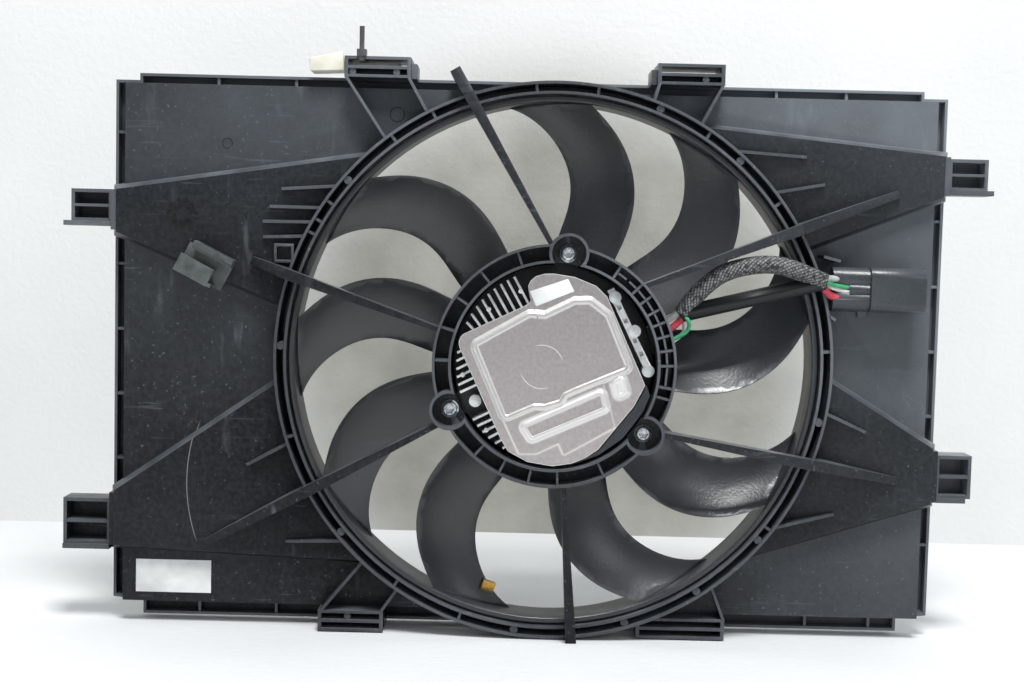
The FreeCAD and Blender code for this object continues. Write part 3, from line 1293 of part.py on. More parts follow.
tray_base = block("tray_base", -197.5, -183.5, 65.6, 79.0, size.wing_front, size.wing_front + 8.0)
tray_well = block("tray_well", -195.5, -185.5, 67.6, 77.0, size.wing_front + 2.0, size.wing_front + 9.0)
tray_cut = cut("tray_open", tray_base, tray_well)
tray_ribs = cut("tray_at_ribs", tray_cut, ribs_clear)
node(cut("tray_finished", tray_ribs, bore_room), "lead_tray")

tongue_low = top + size.bracket_height - size.bracket_bar - size.bracket_slot
tongue_plate = block("tongue_plate", -170.0, -112.0, tongue_low, tongue_low + 2.8, 14.0, 30.0)
tongue_head = bar("tongue_head", (-175.5, 204.6), (-151.5, 207.6), (9.0, 12.0, 32.0), (13.0, 12.0, 32.0))
node(join("tongue_joined", [tongue_plate, tongue_head]), "nylon_tongue")

tie_height = top + size.bracket_height
tie_strap = block("tie_strap", -140.0, -136.6, tie_height, 231.0, 37.2, size.bracket_front + 0.4)
tie_head = block("tie_head", -141.6, -135.0, tie_height - 0.2, tie_height + 4.6, size.bracket_front - 5.0,
                 size.bracket_front + 2.0)
tie_loop = block("tie_loop", -140.2, -136.4, tie_height - size.bracket_bar - 1.2, tie_height + 0.8, 4.8,
                 size.bracket_front + 1.2)
tie_raw = join("tie_raw", [tie_strap, tie_head, tie_loop])
node(cut("tie_clear", tie_raw, group("tie_tools", [brackets_clear, bore_room])), "cable_tie")

node(block("panel_label_plate", -296.8, -242.5, -174.5, -150.6, size.panel_front, size.panel_front + 0.3), "panel_label")
motor_label = body("motor_label")
sticker = sketch(motor_label, "motor_label_outline", lid_face, turn=turn)
outline(sticker, [lid_spot(*spot) for spot in ((3.4, 53.8), (30.6, 52.1), (31.5, 42.7), (3.6, 42.7))])
pad(motor_label, sticker, 0.3)

# ---------------------------------------------------------------- write the pieces

doc.recompute()
for name, lead in lead_shapes.items():
    free_shape(name, lead.cut(housing.Shape))
free_shape("lead_grommet", grommet_shape.cut(housing.Shape).cut(all_leads))
windings = []
for step in range(12):
    one = coils.Shape.copy()
    one.rotate(Vector(0, 0, 0), Vector(0, -1, 0), 30.0 * step)
    windings.append(one)
free_shape("stator_coils", Part.makeCompound(windings))

doc.recompute()
for thing in doc.Objects:
    if "Invalid" in thing.State or "Error" in thing.State:
        raise RuntimeError(f"{thing.Label} failed: {thing.State}")
os.makedirs("parts", exist_ok=True)
for piece in nodes:
    shape = piece.Shape
    if shape.isNull() or not shape.isValid():
        raise RuntimeError(f"{piece.Label} has no valid shape")
    shape.exportStep(f"parts/{piece.Label}.step")
    print(piece.Label, "solids", len(shape.Solids), "volume", round(shape.Volume))
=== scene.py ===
"""Looks of a car's radiator fan module: moulded shroud, banded fan, finned motor and its sleeved lead.

The frame is the CAD's: metres, the fan's axis along Y, +X right and +Z up as seen from the engine side, which
is at -Y. A depth is a distance from the radiator towards the engine, as in the CAD.
"""
import math

import bmesh
import bpy
import numpy as np
from mathutils import Matrix, Vector


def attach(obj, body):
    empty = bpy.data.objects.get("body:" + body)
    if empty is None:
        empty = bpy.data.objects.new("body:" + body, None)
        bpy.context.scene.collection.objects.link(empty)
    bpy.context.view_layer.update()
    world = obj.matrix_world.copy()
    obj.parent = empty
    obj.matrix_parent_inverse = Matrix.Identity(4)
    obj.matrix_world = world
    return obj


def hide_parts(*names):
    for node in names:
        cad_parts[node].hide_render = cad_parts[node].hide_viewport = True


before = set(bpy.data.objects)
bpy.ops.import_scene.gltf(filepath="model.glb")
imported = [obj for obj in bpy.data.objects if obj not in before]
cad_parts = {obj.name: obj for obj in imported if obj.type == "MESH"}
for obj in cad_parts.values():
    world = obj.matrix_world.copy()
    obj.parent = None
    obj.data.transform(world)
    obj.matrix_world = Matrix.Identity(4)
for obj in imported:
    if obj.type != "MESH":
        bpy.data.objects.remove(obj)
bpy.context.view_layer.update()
MM = 0.001

# ---------------------------------------------------------------- moulded shroud
# One injection moulding of black polypropylene, talc filled and satin from its tool. Its edges are rounded by the
# tool and catch the light, and the narrow front faces and rounded edges take a paler copy of the plastic as painted
# highlight. Handling has scuffed the flats, and dust lies on what faces up. A pale film towards the upper right is
# part dust and part painted sheen.


def colour(code):
    """An sRGB hex colour as linear red, green, blue and alpha: each channel goes through the sRGB curve."""
    channels = [int(code[i:i + 2], 16) / 255 for i in (1, 3, 5)]
    return [c / 12.92 if c <= 0.04045 else ((c + 0.055) / 1.055) ** 2.4 for c in channels] + [1.0]


def add(tree, kind, inputs=None, **settings):
    """Adds a node to a material, sets its own settings, and fills its inputs from values or other sockets."""
    made = tree.nodes.new(kind)
    for name, value in settings.items():
        setattr(made, name, value)
    for name, value in (inputs or {}).items():
        if isinstance(value, bpy.types.NodeSocket):
            tree.links.new(value, made.inputs[name])
        else:
            made.inputs[name].default_value = value
    return made


def new_material(name, **sockets):
    """A material with its shader's sockets set. Returns the material, its node tree and the shader."""
    made = bpy.data.materials.new(name)
    made.use_nodes = True
    shader = made.node_tree.nodes["Principled BSDF"]
    for socket, value in sockets.items():
        shader.inputs[socket.replace("_", " ")].default_value = value
    return made, made.node_tree, shader


def blotches(tree, size_mm, low, high, detail=3.0, stretch=(1, 1, 1)):
    """Soft patches of about a size in millimetres, as a factor from 0 to 1 between two noise levels."""
    place = add(tree, "ShaderNodeTexCoord").outputs["Object"]
    scaled = add(tree, "ShaderNodeMapping", {"Vector": place, "Scale": stretch}).outputs["Vector"]
    noise = add(tree, "ShaderNodeTexNoise", {"Vector": scaled, "Scale": 1 / (size_mm * MM), "Detail": detail})
    span = add(tree, "ShaderNodeMapRange", {"Value": noise.outputs["Fac"], "From Min": low, "From Max": high})
    return span.outputs["Result"]


def blend(tree, factor, first, second):
    """Mixes two colours by a factor. Each is a socket or a hex code."""
    first, second = (colour(c) if isinstance(c, str) else c for c in (first, second))
    mix = add(tree, "ShaderNodeMix", {0: factor, 6: first, 7: second}, data_type="RGBA")
    return mix.outputs[2]


def relief(tree, shader, height, depth_mm, strength=1.0):
    """Gives a shader a bump of a depth in millimetres from a height factor."""
    bump = add(tree, "ShaderNodeBump", {"Height": height, "Distance": depth_mm * MM, "Strength": strength})
    tree.links.new(bump.outputs["Normal"], shader.inputs["Normal"])


def share(tree, factor, low, high):
    """Maps a 0 to 1 factor onto a range."""
    return add(tree, "ShaderNodeMapRange", {"Value": factor, "To Min": low, "To Max": high}).outputs["Result"]


def times(tree, first, second):
    """The product of two factors."""
    return add(tree, "ShaderNodeMath", {0: first, 1: second}, operation="MULTIPLY").outputs[0]


def times_and_plus(tree, first, second, third):
    """The product of two factors, plus a third."""
    return add(tree, "ShaderNodeMath", {0: first, 1: second, 2: third}, operation="MULTIPLY_ADD").outputs[0]


def dust_on_top(tree, amount):
    """A factor for dust: it grows as a surface faces up, and lies in uneven patches."""
    normal = add(tree, "ShaderNodeTexCoord").outputs["Normal"]
    up = add(tree, "ShaderNodeSeparateXYZ", {"Vector": normal}).outputs["Z"]
    facing = add(tree, "ShaderNodeMapRange", {"Value": up, "From Min": 0.2, "From Max": 0.9, "To Max": amount})
    return times(tree, facing.outputs["Result"], share(tree, blotches(tree, 25, 0.3, 0.65), 0.35, 1.0))


def along(tree, direction, start=0.0):
    """The place along a direction in metres from a start: the dot product with the object's place."""
    place = add(tree, "ShaderNodeTexCoord").outputs["Object"]
    way = add(tree, "ShaderNodeVectorMath", {0: place, 1: direction}, operation="DOT_PRODUCT")
    return add(tree, "ShaderNodeMath", {0: way.outputs["Value"], 1: start}, operation="SUBTRACT").outputs[0]


# The pale film of dust and painted sheen: the way it thickens, the Y between wing and panel, and its growth per
# metre and amount on the axis
SHEEN_WAY, WING_Y, PANEL_Y = (0.9, 0.0, 1.3), -0.027, -0.019
WING_DUST_AND_SHEEN, PANEL_DUST_AND_SHEEN = (0.12, 0.03), (0.7, 0.25)


def dust_and_sheen(tree):
    """A pale film, part dust and part painted sheen, that thickens to the upper right where the lamps' reflection
    falls. On the wings it is a growth times the place along its way, plus an amount, and the recessed panel adds a
    film of its own."""
    reach = along(tree, SHEEN_WAY)
    recess = add(tree, "ShaderNodeMapRange", {"Value": along(tree, (0, 1, 0)), "From Min": WING_Y,
                                              "From Max": PANEL_Y}).outputs["Result"]
    on_wings = times_and_plus(tree, reach, *WING_DUST_AND_SHEEN)
    on_panel = times_and_plus(tree, reach, *PANEL_DUST_AND_SHEEN)
    film = times_and_plus(tree, on_panel, recess, on_wings)
    uneven = share(tree, blotches(tree, 70, 0.3, 0.7, 5.0), 0.8, 1.15)
    return add(tree, "ShaderNodeMath", {0: film, 1: uneven}, operation="MULTIPLY", use_clamp=True).outputs[0]


def circle_mark(tree, x, z, radius, width):
    """A circle line on the faces towards the engine, all in metres: 1 on the line, fading over the outer half
    of its width, and 0 beside it."""
    where = add(tree, "ShaderNodeTexCoord").outputs
    facing = add(tree, "ShaderNodeVectorMath", {0: where["Normal"], 1: (0, -1, 0)},
                 operation="DOT_PRODUCT").outputs["Value"]
    towards = add(tree, "ShaderNodeMapRange", {"Value": facing, "From Min": 0.3, "From Max": 0.6})
    flat = add(tree, "ShaderNodeVectorMath", {0: where["Object"], 1: (1, 0, 1)},
               operation="MULTIPLY").outputs[0]
    away = add(tree, "ShaderNodeVectorMath", {0: flat, 1: (x, 0, z)}, operation="DISTANCE").outputs["Value"]
    off = add(tree, "ShaderNodeMath", {0: away, 1: radius}, operation="SUBTRACT").outputs[0]
    aside = add(tree, "ShaderNodeMath", {0: off}, operation="ABSOLUTE").outputs[0]
    line = add(tree, "ShaderNodeMapRange", {"Value": aside, "From Min": width * 0.3, "From Max": width * 0.6,
                                            "To Min": 1.0, "To Max": 0.0})
    return times(tree, line.outputs["Result"], towards.outputs["Result"])


# Rings left by ejector pins and a pad: X, Z, radius and line width in metres, tone and strength
MOULD_MARKS = (
    (-0.2341, 0.1489, 0.0035, 0.0008, "#060708", 0.8),
    (-0.1142, 0.1720, 0.0050, 0.0008, "#060708", 0.8),
    (-0.2641, 0.0981, 0.0075, 0.0075, "#040505", 0.7),
)
# A scratch across the lower left wing, part of a wide circle: X, Z, radius and line width in metres. It fades
# out between two X
LONG_SCRATCH = (-0.1312, -0.0920, 0.1276, 0.0007)
SCRATCH_END = (-0.2535, -0.2510)


def moulded_plastic(name, dark, light, dust, roughness, grain_mm, dust_sheen_and_marks=False, worn=0.4):
    """Satin moulded plastic: mottled between two tones, scuffed and specked as much as it is worn, dusty on top and
    finely grained. Where asked, it takes a pale film that grows to the upper right, part dust and part painted
    sheen, with mould marks and a scratch."""
    made, tree, shader = new_material(name, Roughness=roughness)
    tone = blend(tree, blotches(tree, 130, 0.38, 0.66), dark, light)
    if dust_sheen_and_marks:
        # A pale blue-grey film, part dust and part painted sheen, brightest to the upper right
        tone = blend(tree, dust_and_sheen(tree), tone, "#8c9299")
        for x, z, radius, width, mark_tone, strength in MOULD_MARKS:
            tone = blend(tree, times(tree, circle_mark(tree, x, z, radius, width), strength), tone, mark_tone)
        reach = add(tree, "ShaderNodeMapRange", {"Value": along(tree, (1, 0, 0)), "From Min": SCRATCH_END[0],
                                                 "From Max": SCRATCH_END[1], "To Min": 0.8, "To Max": 0.0})
        scored = times(tree, circle_mark(tree, *LONG_SCRATCH), reach.outputs["Result"])
        tone = blend(tree, scored, tone, "#84827f")
    tone = blend(tree, share(tree, blotches(tree, 3.5, 0.35, 0.7, 3.0), 0, 0.16 * worn), tone, dust)
    scuff = times(tree, blotches(tree, 9, 0.60, 0.72, 6.0, (1, 1, 0.22)), blotches(tree, 90, 0.45, 0.7))
    scratch = times(tree, blotches(tree, 40, 0.62, 0.66, 5.0, (1, 1, 14)), blotches(tree, 60, 0.5, 0.62))
    speck = blotches(tree, 2.4, 0.70, 0.76, 1.0)
    for mark, strength in ((scuff, 1.0), (scratch, 0.5), (speck, 0.9)):
        tone = blend(tree, times(tree, mark, strength * worn), tone, dust)
    tone = blend(tree, dust_on_top(tree, 0.55), tone, dust)
    tree.links.new(tone, shader.inputs["Base Color"])
    rough = share(tree, blotches(tree, 18, 0.35, 0.7), roughness - 0.12 * worn, roughness + 0.25 * worn)
    tree.links.new(rough, shader.inputs["Roughness"])
    relief(tree, shader, blotches(tree, grain_mm, 0.3, 0.7, 2.0), 0.05)
    return made


def finish_faces(mesh, softest=35):
    """Shades a mesh smoothly except across edges sharper than an angle in degrees."""
    mesh.shade_smooth()
    mesh.set_sharp_from_angle(angle=math.radians(softest))


def rounded_copy(node, radius_mm, segments=2, rim_mm=0.0, flat_degrees=0.6):
    """A copy of a CAD piece, with its triangles merged into faces and its sharp edges rounded to a radius.
    Where a rim width is given, the rounded edges and the front faces narrower than it take the second material, a
    paler copy painted as highlight: a long face's width is twice its area over its outline."""
    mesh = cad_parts[node].data.copy()
    work = bmesh.new()
    work.from_mesh(mesh)
    bmesh.ops.remove_doubles(work, verts=work.verts, dist=0.002 * MM)
    bmesh.ops.dissolve_limit(work, angle_limit=math.radians(flat_degrees), verts=work.verts, edges=work.edges)
    # Narrow faces towards the engine take the paler second material: painted highlight
    if rim_mm:
        for face in work.faces:
            width = 2 * face.calc_area() / face.calc_perimeter()
            face.material_index = int(face.normal.y < -0.8 and width < rim_mm * MM)
    work.to_mesh(mesh)
    work.free()
    piece = bpy.data.objects.new(node + "_moulded", mesh)
    bpy.context.scene.collection.objects.link(piece)
    mesh.shade_smooth()
    edge = piece.modifiers.new("edge radius", "BEVEL")
    edge.width = radius_mm * MM
    edge.segments = segments
    edge.limit_method = "ANGLE"
    edge.angle_limit = math.radians(35)
    edge.harden_normals = True
    # Where a rim width is given, the rounded edges take the paler copy: painted highlight
    if rim_mm:
        edge.material = 1
    return piece


def dress(piece, node, body, slot, *materials):
    """Puts a piece in place of a CAD node: its body and its materials, as its faces number them. The slot is not
    used.
    """
    numbers = np.zeros(len(piece.data.polygons), np.int32)
    piece.data.polygons.foreach_get("material_index", numbers)
    piece.data.materials.clear()
    for material in materials:
        piece.data.materials.append(material)
    piece.data.polygons.foreach_set("material_index", np.minimum(numbers, len(materials) - 1))
    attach(piece, body)
    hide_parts(node)


def finish_node(node, material):
    """Gives a CAD node whose shape is right its material."""
    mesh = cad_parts[node].data
    mesh.materials.clear()
    mesh.materials.append(material)


# Edge radius, the width under which a front face is a rib's edge, and the tool's grain, drawn coarse enough to
# show, in millimetres
SHROUD_EDGE, SHROUD_RIM, MOULD_GRAIN = 0.35, 3.2, 1.6
# Talc and dust leave little gloss
SHROUD_GLOSS = 0.22
shroud_pp = moulded_plastic("talc-filled polypropylene, moulded", "#0d0f12", "#181b1f", "#767c82", 0.36,
                            MOULD_GRAIN, dust_sheen_and_marks=True)
# A paler copy of the shroud plastic for rib edges and rounded edges: painted highlight
highlight_pp = moulded_plastic("talc-filled polypropylene, rubbed pale", "#3b3e42", "#5a5e63", "#868c92", 0.36,
                            MOULD_GRAIN, dust_sheen_and_marks=True)
for shroud_plastic in (shroud_pp, highlight_pp):
    shroud_plastic.node_tree.nodes["Principled BSDF"].inputs["Specular IOR Level"].default_value = SHROUD_GLOSS
for shroud_node in ("shroud_panel", "shroud_ring", "motor_carrier", "motor_struts", "shroud_ribs",
                    "clip_brackets", "lead_tray"):
    dress(rounded_copy(shroud_node, SHROUD_EDGE, rim_mm=SHROUD_RIM), shroud_node, "shroud", "shroud_plastic",
          shroud_pp, highlight_pp)

# ---------------------------------------------------------------- fan
# Nine swept blades, a hub and a band, moulded in one piece of glass-filled nylon. It is smoother than the
# shroud and a little glossier, with road film dried on it.

FAN_GLOSS, FAN_GRAIN = 0.8, 2.2
fan_nylon = moulded_plastic("glass-filled nylon, moulded", "#101317", "#1b1f24", "#565a5f", 0.32, FAN_GRAIN,
                            worn=0.12)
fan_nylon.node_tree.nodes["Principled BSDF"].inputs["Specular IOR Level"].default_value = FAN_GLOSS
for fan_node in ("fan_blades", "fan_band", "fan_hub"):
    dress(rounded_copy(fan_node, 0.4, flat_degrees=0.02), fan_node, "rotor", "fan_plastic", fan_nylon)

# ---------------------------------------------------------------- motor housing
# Pressure die-cast aluminium, left as cast: a fine grain, a little uneven.

cast_aluminium, cast_tree, cast_shader = new_material("aluminium, die-cast", Metallic=0.75, Roughness=0.38)
cast_tone = blend(cast_tree, blotches(cast_tree, 6, 0.35, 0.7), "#bfc1c2", "#dcdedd")
cast_tree.links.new(cast_tone, cast_shader.inputs["Base Color"])
relief(cast_tree, cast_shader, blotches(cast_tree, 1.2, 0.3, 0.7), 0.08)
# Black on the flange and the fins' roots, deeper than the flange's front: painted shade between the fins
shade_black = moulded_plastic("cast aluminium painted black as shade between the fins", "#0a0b0c", "#121315", "#38393b", 0.45,
                              MOULD_GRAIN)
# What lies deeper than the flange's front is painted black: painted shade between the fins
FLANGE_FRONT = 54.05
housing = rounded_copy("motor_housing", 0.3)
housing_faces = np.zeros(len(housing.data.polygons) * 3)
housing.data.polygons.foreach_get("center", housing_faces)
painted_shade_faces = housing_faces.reshape(-1, 3)[:, 1] > -FLANGE_FRONT * MM
housing.data.polygons.foreach_set("material_index", painted_shade_faces.astype(np.int32))
dress(housing, "motor_housing", "shroud", "cast_aluminium", cast_aluminium, shade_black)

# ---------------------------------------------------------------- motor lid
# Pressed from aluminium sheet. A raised field covers the electronics, with a beaded rim, and a lower channel and a
# small pocket stiffen the rest. The corners are drawn round by the press. Its slopes, the bands along its rims and
# its edge are painted near white as highlight.

LID_TURN = math.radians(23)
# Depths of the sheet's back and face, and the round of its edge
LID_BACK, LID_FACE, LID_ROUND = 70.8, 73.0, 0.5
LID_EDGE = np.array([
    (3.6, 57.6), (6.6, 60.4), (11.1, 61.8), (17.0, 61.2), (23.0, 59.0), (35.5, 51.5), (46.8, 40.5), (50.9, 31.1),
    (53.0, -34.9), (40.4, -45.6), (7.2, -64.0), (-3.0, -66.2), (-13.4, -66.4), (-26.5, -63.2), (-41.2, -54.1),
    (-50.9, -42.3), (-52.3, -32.6), (-55.2, 35.4), (-54.9, 38.4), (-54.0, 40.1), (-52.0, 42.4), (-49.4, 43.5),
    (-2.9, 45.9), (0.4, 46.6), (1.8, 48.0), (2.2, 51.0),
])
LID_FIELD = np.array([
    (-41.8, 31.3), (-3.2, 36.2), (6.2, 31.5), (28.8, 33.0), (36.8, 30.0), (43.5, 18.6), (43.8, -16.6),
    (7.6, -16.8), (-1.4, -17.4), (-5.5, -20.6), (-15.4, -19.8), (-22.1, -16.8), (-41.3, -17.3),
])
LID_CHANNEL = np.array([(-32.6, -31.6), (21.6, -29.8), (20.6, -37.6), (-31.2, -38.4)])
LID_STEP = np.array([
    (-44.6, -14.0), (-43.0, -45.6), (-33.0, -49.4), (-15.4, -48.6), (-15.0, -57.2), (21.8, -52.6), (26.2, -14.0),
])
LID_POCKET = np.array([(35.6, -26.4), (38.2, -26.0), (37.6, -32.6), (35.0, -33.0)])
# Each raised area's rim: where it starts outside the outline, its run and its height, then the same for the
# drop inside it
FIELD_RIM = (6.8, 2.8, 2.75, 2.6, 1.8, 0.95)
POCKET_RIM = (6.2, 4.2, 2.3, 1.0, 1.0, 0.6)
STEP_RIM = (2.6, 1.9, 1.0, 1.0, 1.0, 0.0)
# The band painted bright along a rim as highlight: its outer edge, the fade there, its inner edge and its strength
FIELD_HIGHLIGHT = (6.6, 1.0, 2.4, 0.45)
CHANNEL_HIGHLIGHT = (6.0, 1.0, 0.8, 0.75)
POCKET_HIGHLIGHT = (5.6, 0.8, -0.8, 0.8)
HIGHLIGHT_FADE = 0.8


def outside(u, v, corners):
    """Distance from points to a closed outline, 0 inside it: the nearest of its sides, unless a ray from the
    point crosses the sides an odd number of times."""
    nearest = np.full(u.shape, 1e9)
    crossings = np.zeros(u.shape, int)
    for (u0, v0), (u1, v1) in zip(corners, np.roll(corners, -1, axis=0)):
        run_u, run_v = u1 - u0, v1 - v0
        part = np.clip(((u - u0) * run_u + (v - v0) * run_v) / (run_u ** 2 + run_v ** 2), 0, 1)
        nearest = np.minimum(nearest, np.hypot(u - u0 - part * run_u, v - v0 - part * run_v))
        meets = ((v0 > v) != (v1 > v)) & (u < u0 + (v - v0) * run_u / np.where(run_v == 0, 1e-9, run_v))
        crossings += meets
    return np.where(crossings % 2 == 1, 0.0, nearest)


def eased(value):
    """A smooth step from 0 to 1: three times the square less twice the cube."""
    value = np.clip(value, 0, 1)
    return value * value * (3 - 2 * value)


def grid_faces(rows, columns, close_rows=False, close_columns=False):
    """The quads of a grid of points, joined end to start where a direction is closed."""
    last_row, last_column = rows - (not close_rows), columns - (not close_columns)
    row, column = np.meshgrid(np.arange(last_row), np.arange(last_column), indexing="ij")
    next_row, next_column = (row + 1) % rows, (column + 1) % columns
    corners = [row * columns + column, next_row * columns + column,
               next_row * columns + next_column, row * columns + next_column]
    return np.stack([c.ravel() for c in corners], axis=1)


def new_piece(name, points, faces, smooth=40):
    """An object from points in millimetres and faces."""
    mesh = bpy.data.meshes.new(name)
    mesh.from_pydata((np.asarray(points) * MM).tolist(), [], np.asarray(faces).tolist())
    mesh.validate()
    finish_faces(mesh, smooth)
    made = bpy.data.objects.new(name, mesh)
    bpy.context.scene.collection.objects.link(made)
    return made


def on_lid(u, v, depth):
    """Lid axes turned round the fan's axis into the frame: X is u cos - v sin, Z is u sin + v cos."""
    return np.stack([u * math.cos(LID_TURN) - v * math.sin(LID_TURN), -depth,
                     u * math.sin(LID_TURN) + v * math.cos(LID_TURN)], axis=-1)


def rim_height(away, start, run, height, inner_start, inner_run, drop):
    """A rim by the distance from its outline: an eased rise over its run, less an eased drop inside it."""
    return height * eased((start - away) / run) - drop * eased((inner_start - away) / inner_run)


def lid_rise(u, v):
    """How far the pressing stands out of the plate: the highest of its raised areas' rims."""
    rise = rim_height(outside(u, v, LID_STEP), *STEP_RIM)
    for corners, rim in ((LID_FIELD, FIELD_RIM), (LID_CHANNEL, POCKET_RIM), (LID_POCKET, POCKET_RIM)):
        rise = np.maximum(rise, rim_height(outside(u, v, corners), *rim))
    return rise


def lid_slope(u, v, step=0.15):
    """The steepness of the pressing: the rise's differences over twice a step on both axes, as one length."""
    return np.hypot(lid_rise(u + step, v) - lid_rise(u - step, v),
                    lid_rise(u, v + step) - lid_rise(u, v - step)) / (2 * step)


def highlight_band(away, outer, fade, inner, strength):
    """A band of painted highlight between an outer and an inner distance from an outline, eased at both edges."""
    return strength * eased((outer - away) / fade) * eased((away - inner) / HIGHLIGHT_FADE)


def pressed_lid():
    """The lid as a sheet over its outline. A point is a share s of the way from the middle to the edge at a turn t.
    The last rows turn the edge down and back. "painted_highlight" is the larger of the slope and the bright bands:
    painted highlight on the slopes, the rim bands and the edge."""
    turns, shares = 720, 125
    t = np.linspace(0, 2 * np.pi, turns, endpoint=False)
    reach = np.full(t.shape, 1e9)
    for (u0, v0), (u1, v1) in zip(LID_EDGE, np.roll(LID_EDGE, -1, axis=0)):
        du, dv = u1 - u0, v1 - v0
        cross = np.cos(t) * dv - np.sin(t) * du
        cross = np.where(np.abs(cross) < 1e-9, 1e-9, cross)
        distance = (u0 * dv - v0 * du) / cross
        part = (np.cos(t) * v0 - np.sin(t) * u0) / -cross
        hit = (distance > 0) & (part >= -1e-6) & (part <= 1 + 1e-6)
        reach = np.where(hit & (distance < reach), distance, reach)
    s = np.linspace(0, 1, shares)[:, None] ** 0.8
    u, v = s * reach * np.cos(t), s * reach * np.sin(t)
    top = on_lid(u, v, LID_FACE + lid_rise(u, v))
    edge_inset = 0.995
    top[-1] = on_lid(u[-1] * edge_inset, v[-1] * edge_inset, np.full(turns, LID_FACE))
    edge_round = on_lid(u[-1:], v[-1:], np.full((1, turns), LID_FACE - LID_ROUND))
    under = [on_lid(u[-1:] * k, v[-1:] * k, np.full((1, turns), LID_BACK)) for k in (1.0, 0.5, 0.002)]
    points = np.concatenate([top, edge_round] + under)
    faces = grid_faces(len(points), turns, close_columns=True)[:, ::-1]
    made = new_piece("motor_lid_pressed", points.reshape(-1, 3), faces, 50)
    # Slopes, rim bands and the edge rows are painted bright: painted highlight
    steepest = 1.2
    highlight_amount = lid_slope(u, v) / steepest
    for corners, band in ((LID_CHANNEL, CHANNEL_HIGHLIGHT), (LID_POCKET, POCKET_HIGHLIGHT), (LID_FIELD, FIELD_HIGHLIGHT)):
        highlight_amount = np.maximum(highlight_amount, highlight_band(outside(u, v, corners), *band))
    highlight_amount = np.clip(highlight_amount, 0, 1)
    highlight_amount[-2:] = 0.8
    highlight_amount = np.concatenate([highlight_amount, np.ones((1, turns)), np.zeros((len(under), turns))])
    painted_highlight = made.data.attributes.new("painted_highlight", "FLOAT", "POINT")
    painted_highlight.data.foreach_set("value", highlight_amount.ravel().astype(np.float32))
    return made


lid_sheet, lid_tree, lid_shader = new_material("aluminium sheet, pressed", Roughness=0.34)
painted_highlight = add(lid_tree, "ShaderNodeAttribute", attribute_name="painted_highlight").outputs["Fac"]
lid_tone = blend(lid_tree, blotches(lid_tree, 2.5, 0.3, 0.75, 5.0), "#ada5a5", "#bcb5b4")
# Two arcs of one turning scratch near the middle: X, Z, radius and line width in metres. Only its two sides
# along a way through its middle show, from a distance on
SWIRL = (-0.0085, -0.0002, 0.0148, 0.0008)
SWIRL_WAY, SWIRL_MIDDLE, SWIRL_SIDES = (0.44, 0, 0.9), -0.0039, (0.0100, 0.0125)
swirl_side = add(lid_tree, "ShaderNodeMath", {0: along(lid_tree, SWIRL_WAY, SWIRL_MIDDLE)},
                 operation="ABSOLUTE")
swirl_ends = add(lid_tree, "ShaderNodeMapRange", {"Value": swirl_side.outputs[0], "From Min": SWIRL_SIDES[0],
                                                  "From Max": SWIRL_SIDES[1]})
swirl = times(lid_tree, circle_mark(lid_tree, *SWIRL), swirl_ends.outputs["Result"])
lid_tone = blend(lid_tree, times(lid_tree, swirl, 0.7), lid_tone, "#f6f5f2")
# The slopes, rim bands and edge turn near white and less metallic: painted highlight
lid_tree.links.new(blend(lid_tree, painted_highlight, lid_tone, "#f2f1ee"), lid_shader.inputs["Base Color"])
lid_tree.links.new(share(lid_tree, painted_highlight, 0.85, 0.6), lid_shader.inputs["Metallic"])
lid_rough = share(lid_tree, blotches(lid_tree, 3, 0.3, 0.7), 0.3, 0.42)
lid_tree.links.new(lid_rough, lid_shader.inputs["Roughness"])
relief(lid_tree, lid_shader, blotches(lid_tree, 2.0, 0.3, 0.7, 4.0), 0.03)
dress(pressed_lid(), "motor_lid", "shroud", "lid_aluminium", lid_sheet)

# ---------------------------------------------------------------- motor cover, gasket and grommet
# A black plastic segment closes the housing beside the lid. The gasket and the lead's grommet are rubber.

black_pa = moulded_plastic("black nylon, moulded", "#1d2125", "#2b3035", "#5c6065", 0.3, MOULD_GRAIN,
                           dust_sheen_and_marks=True)
dress(rounded_copy("motor_cover", 0.4), "motor_cover", "shroud", "black_plastic", black_pa)

black_rubber, rubber_tree, rubber_shader = new_material("EPDM rubber, moulded", Roughness=0.75)
rubber_tree.links.new(blend(rubber_tree, blotches(rubber_tree, 5, 0.3, 0.7), "#0c0c0d", "#1a1a1b"),
                      rubber_shader.inputs["Base Color"])
relief(rubber_tree, rubber_shader, blotches(rubber_tree, 1.0, 0.3, 0.7), 0.05)
finish_node("lid_gasket", black_rubber)
dress(rounded_copy("lead_grommet", 0.5), "lead_grommet", "shroud", "black_rubber", black_rubber)

# ---------------------------------------------------------------- screws and bushes
# Steel, zinc plated: a bright, slightly cloudy plate.

zinc_plate, zinc_tree, zinc_shader = new_material("steel, zinc plated", Metallic=0.8, Roughness=0.26)
zinc_tree.links.new(blend(zinc_tree, blotches(zinc_tree, 2.5, 0.3, 0.7), "#a7adb3", "#d3d7da"),
                    zinc_shader.inputs["Base Color"])
relief(zinc_tree, zinc_shader, blotches(zinc_tree, 0.9, 0.3, 0.7), 0.03)
SCREW_CIRCLE, SCREW_ANGLES = 77.6, (84.0, 204.0, 324.0)
# Half section of a screw from the socket's floor out over the head and down to its end: radius and depth
SCREW_SECTION = np.array([
    (0.01, 62.6), (2.1, 62.6), (2.5, 62.8), (2.7, 65.0), (2.9, 65.4), (3.3, 65.55), (4.3, 65.3), (4.9, 64.6),
    (5.1, 63.2), (5.25, 62.6), (5.6, 62.35), (6.1, 62.2), (6.35, 61.9), (6.4, 61.3), (6.2, 61.0), (3.0, 61.0),
    (3.0, 47.4), (2.6, 47.0), (0.01, 47.0),
])


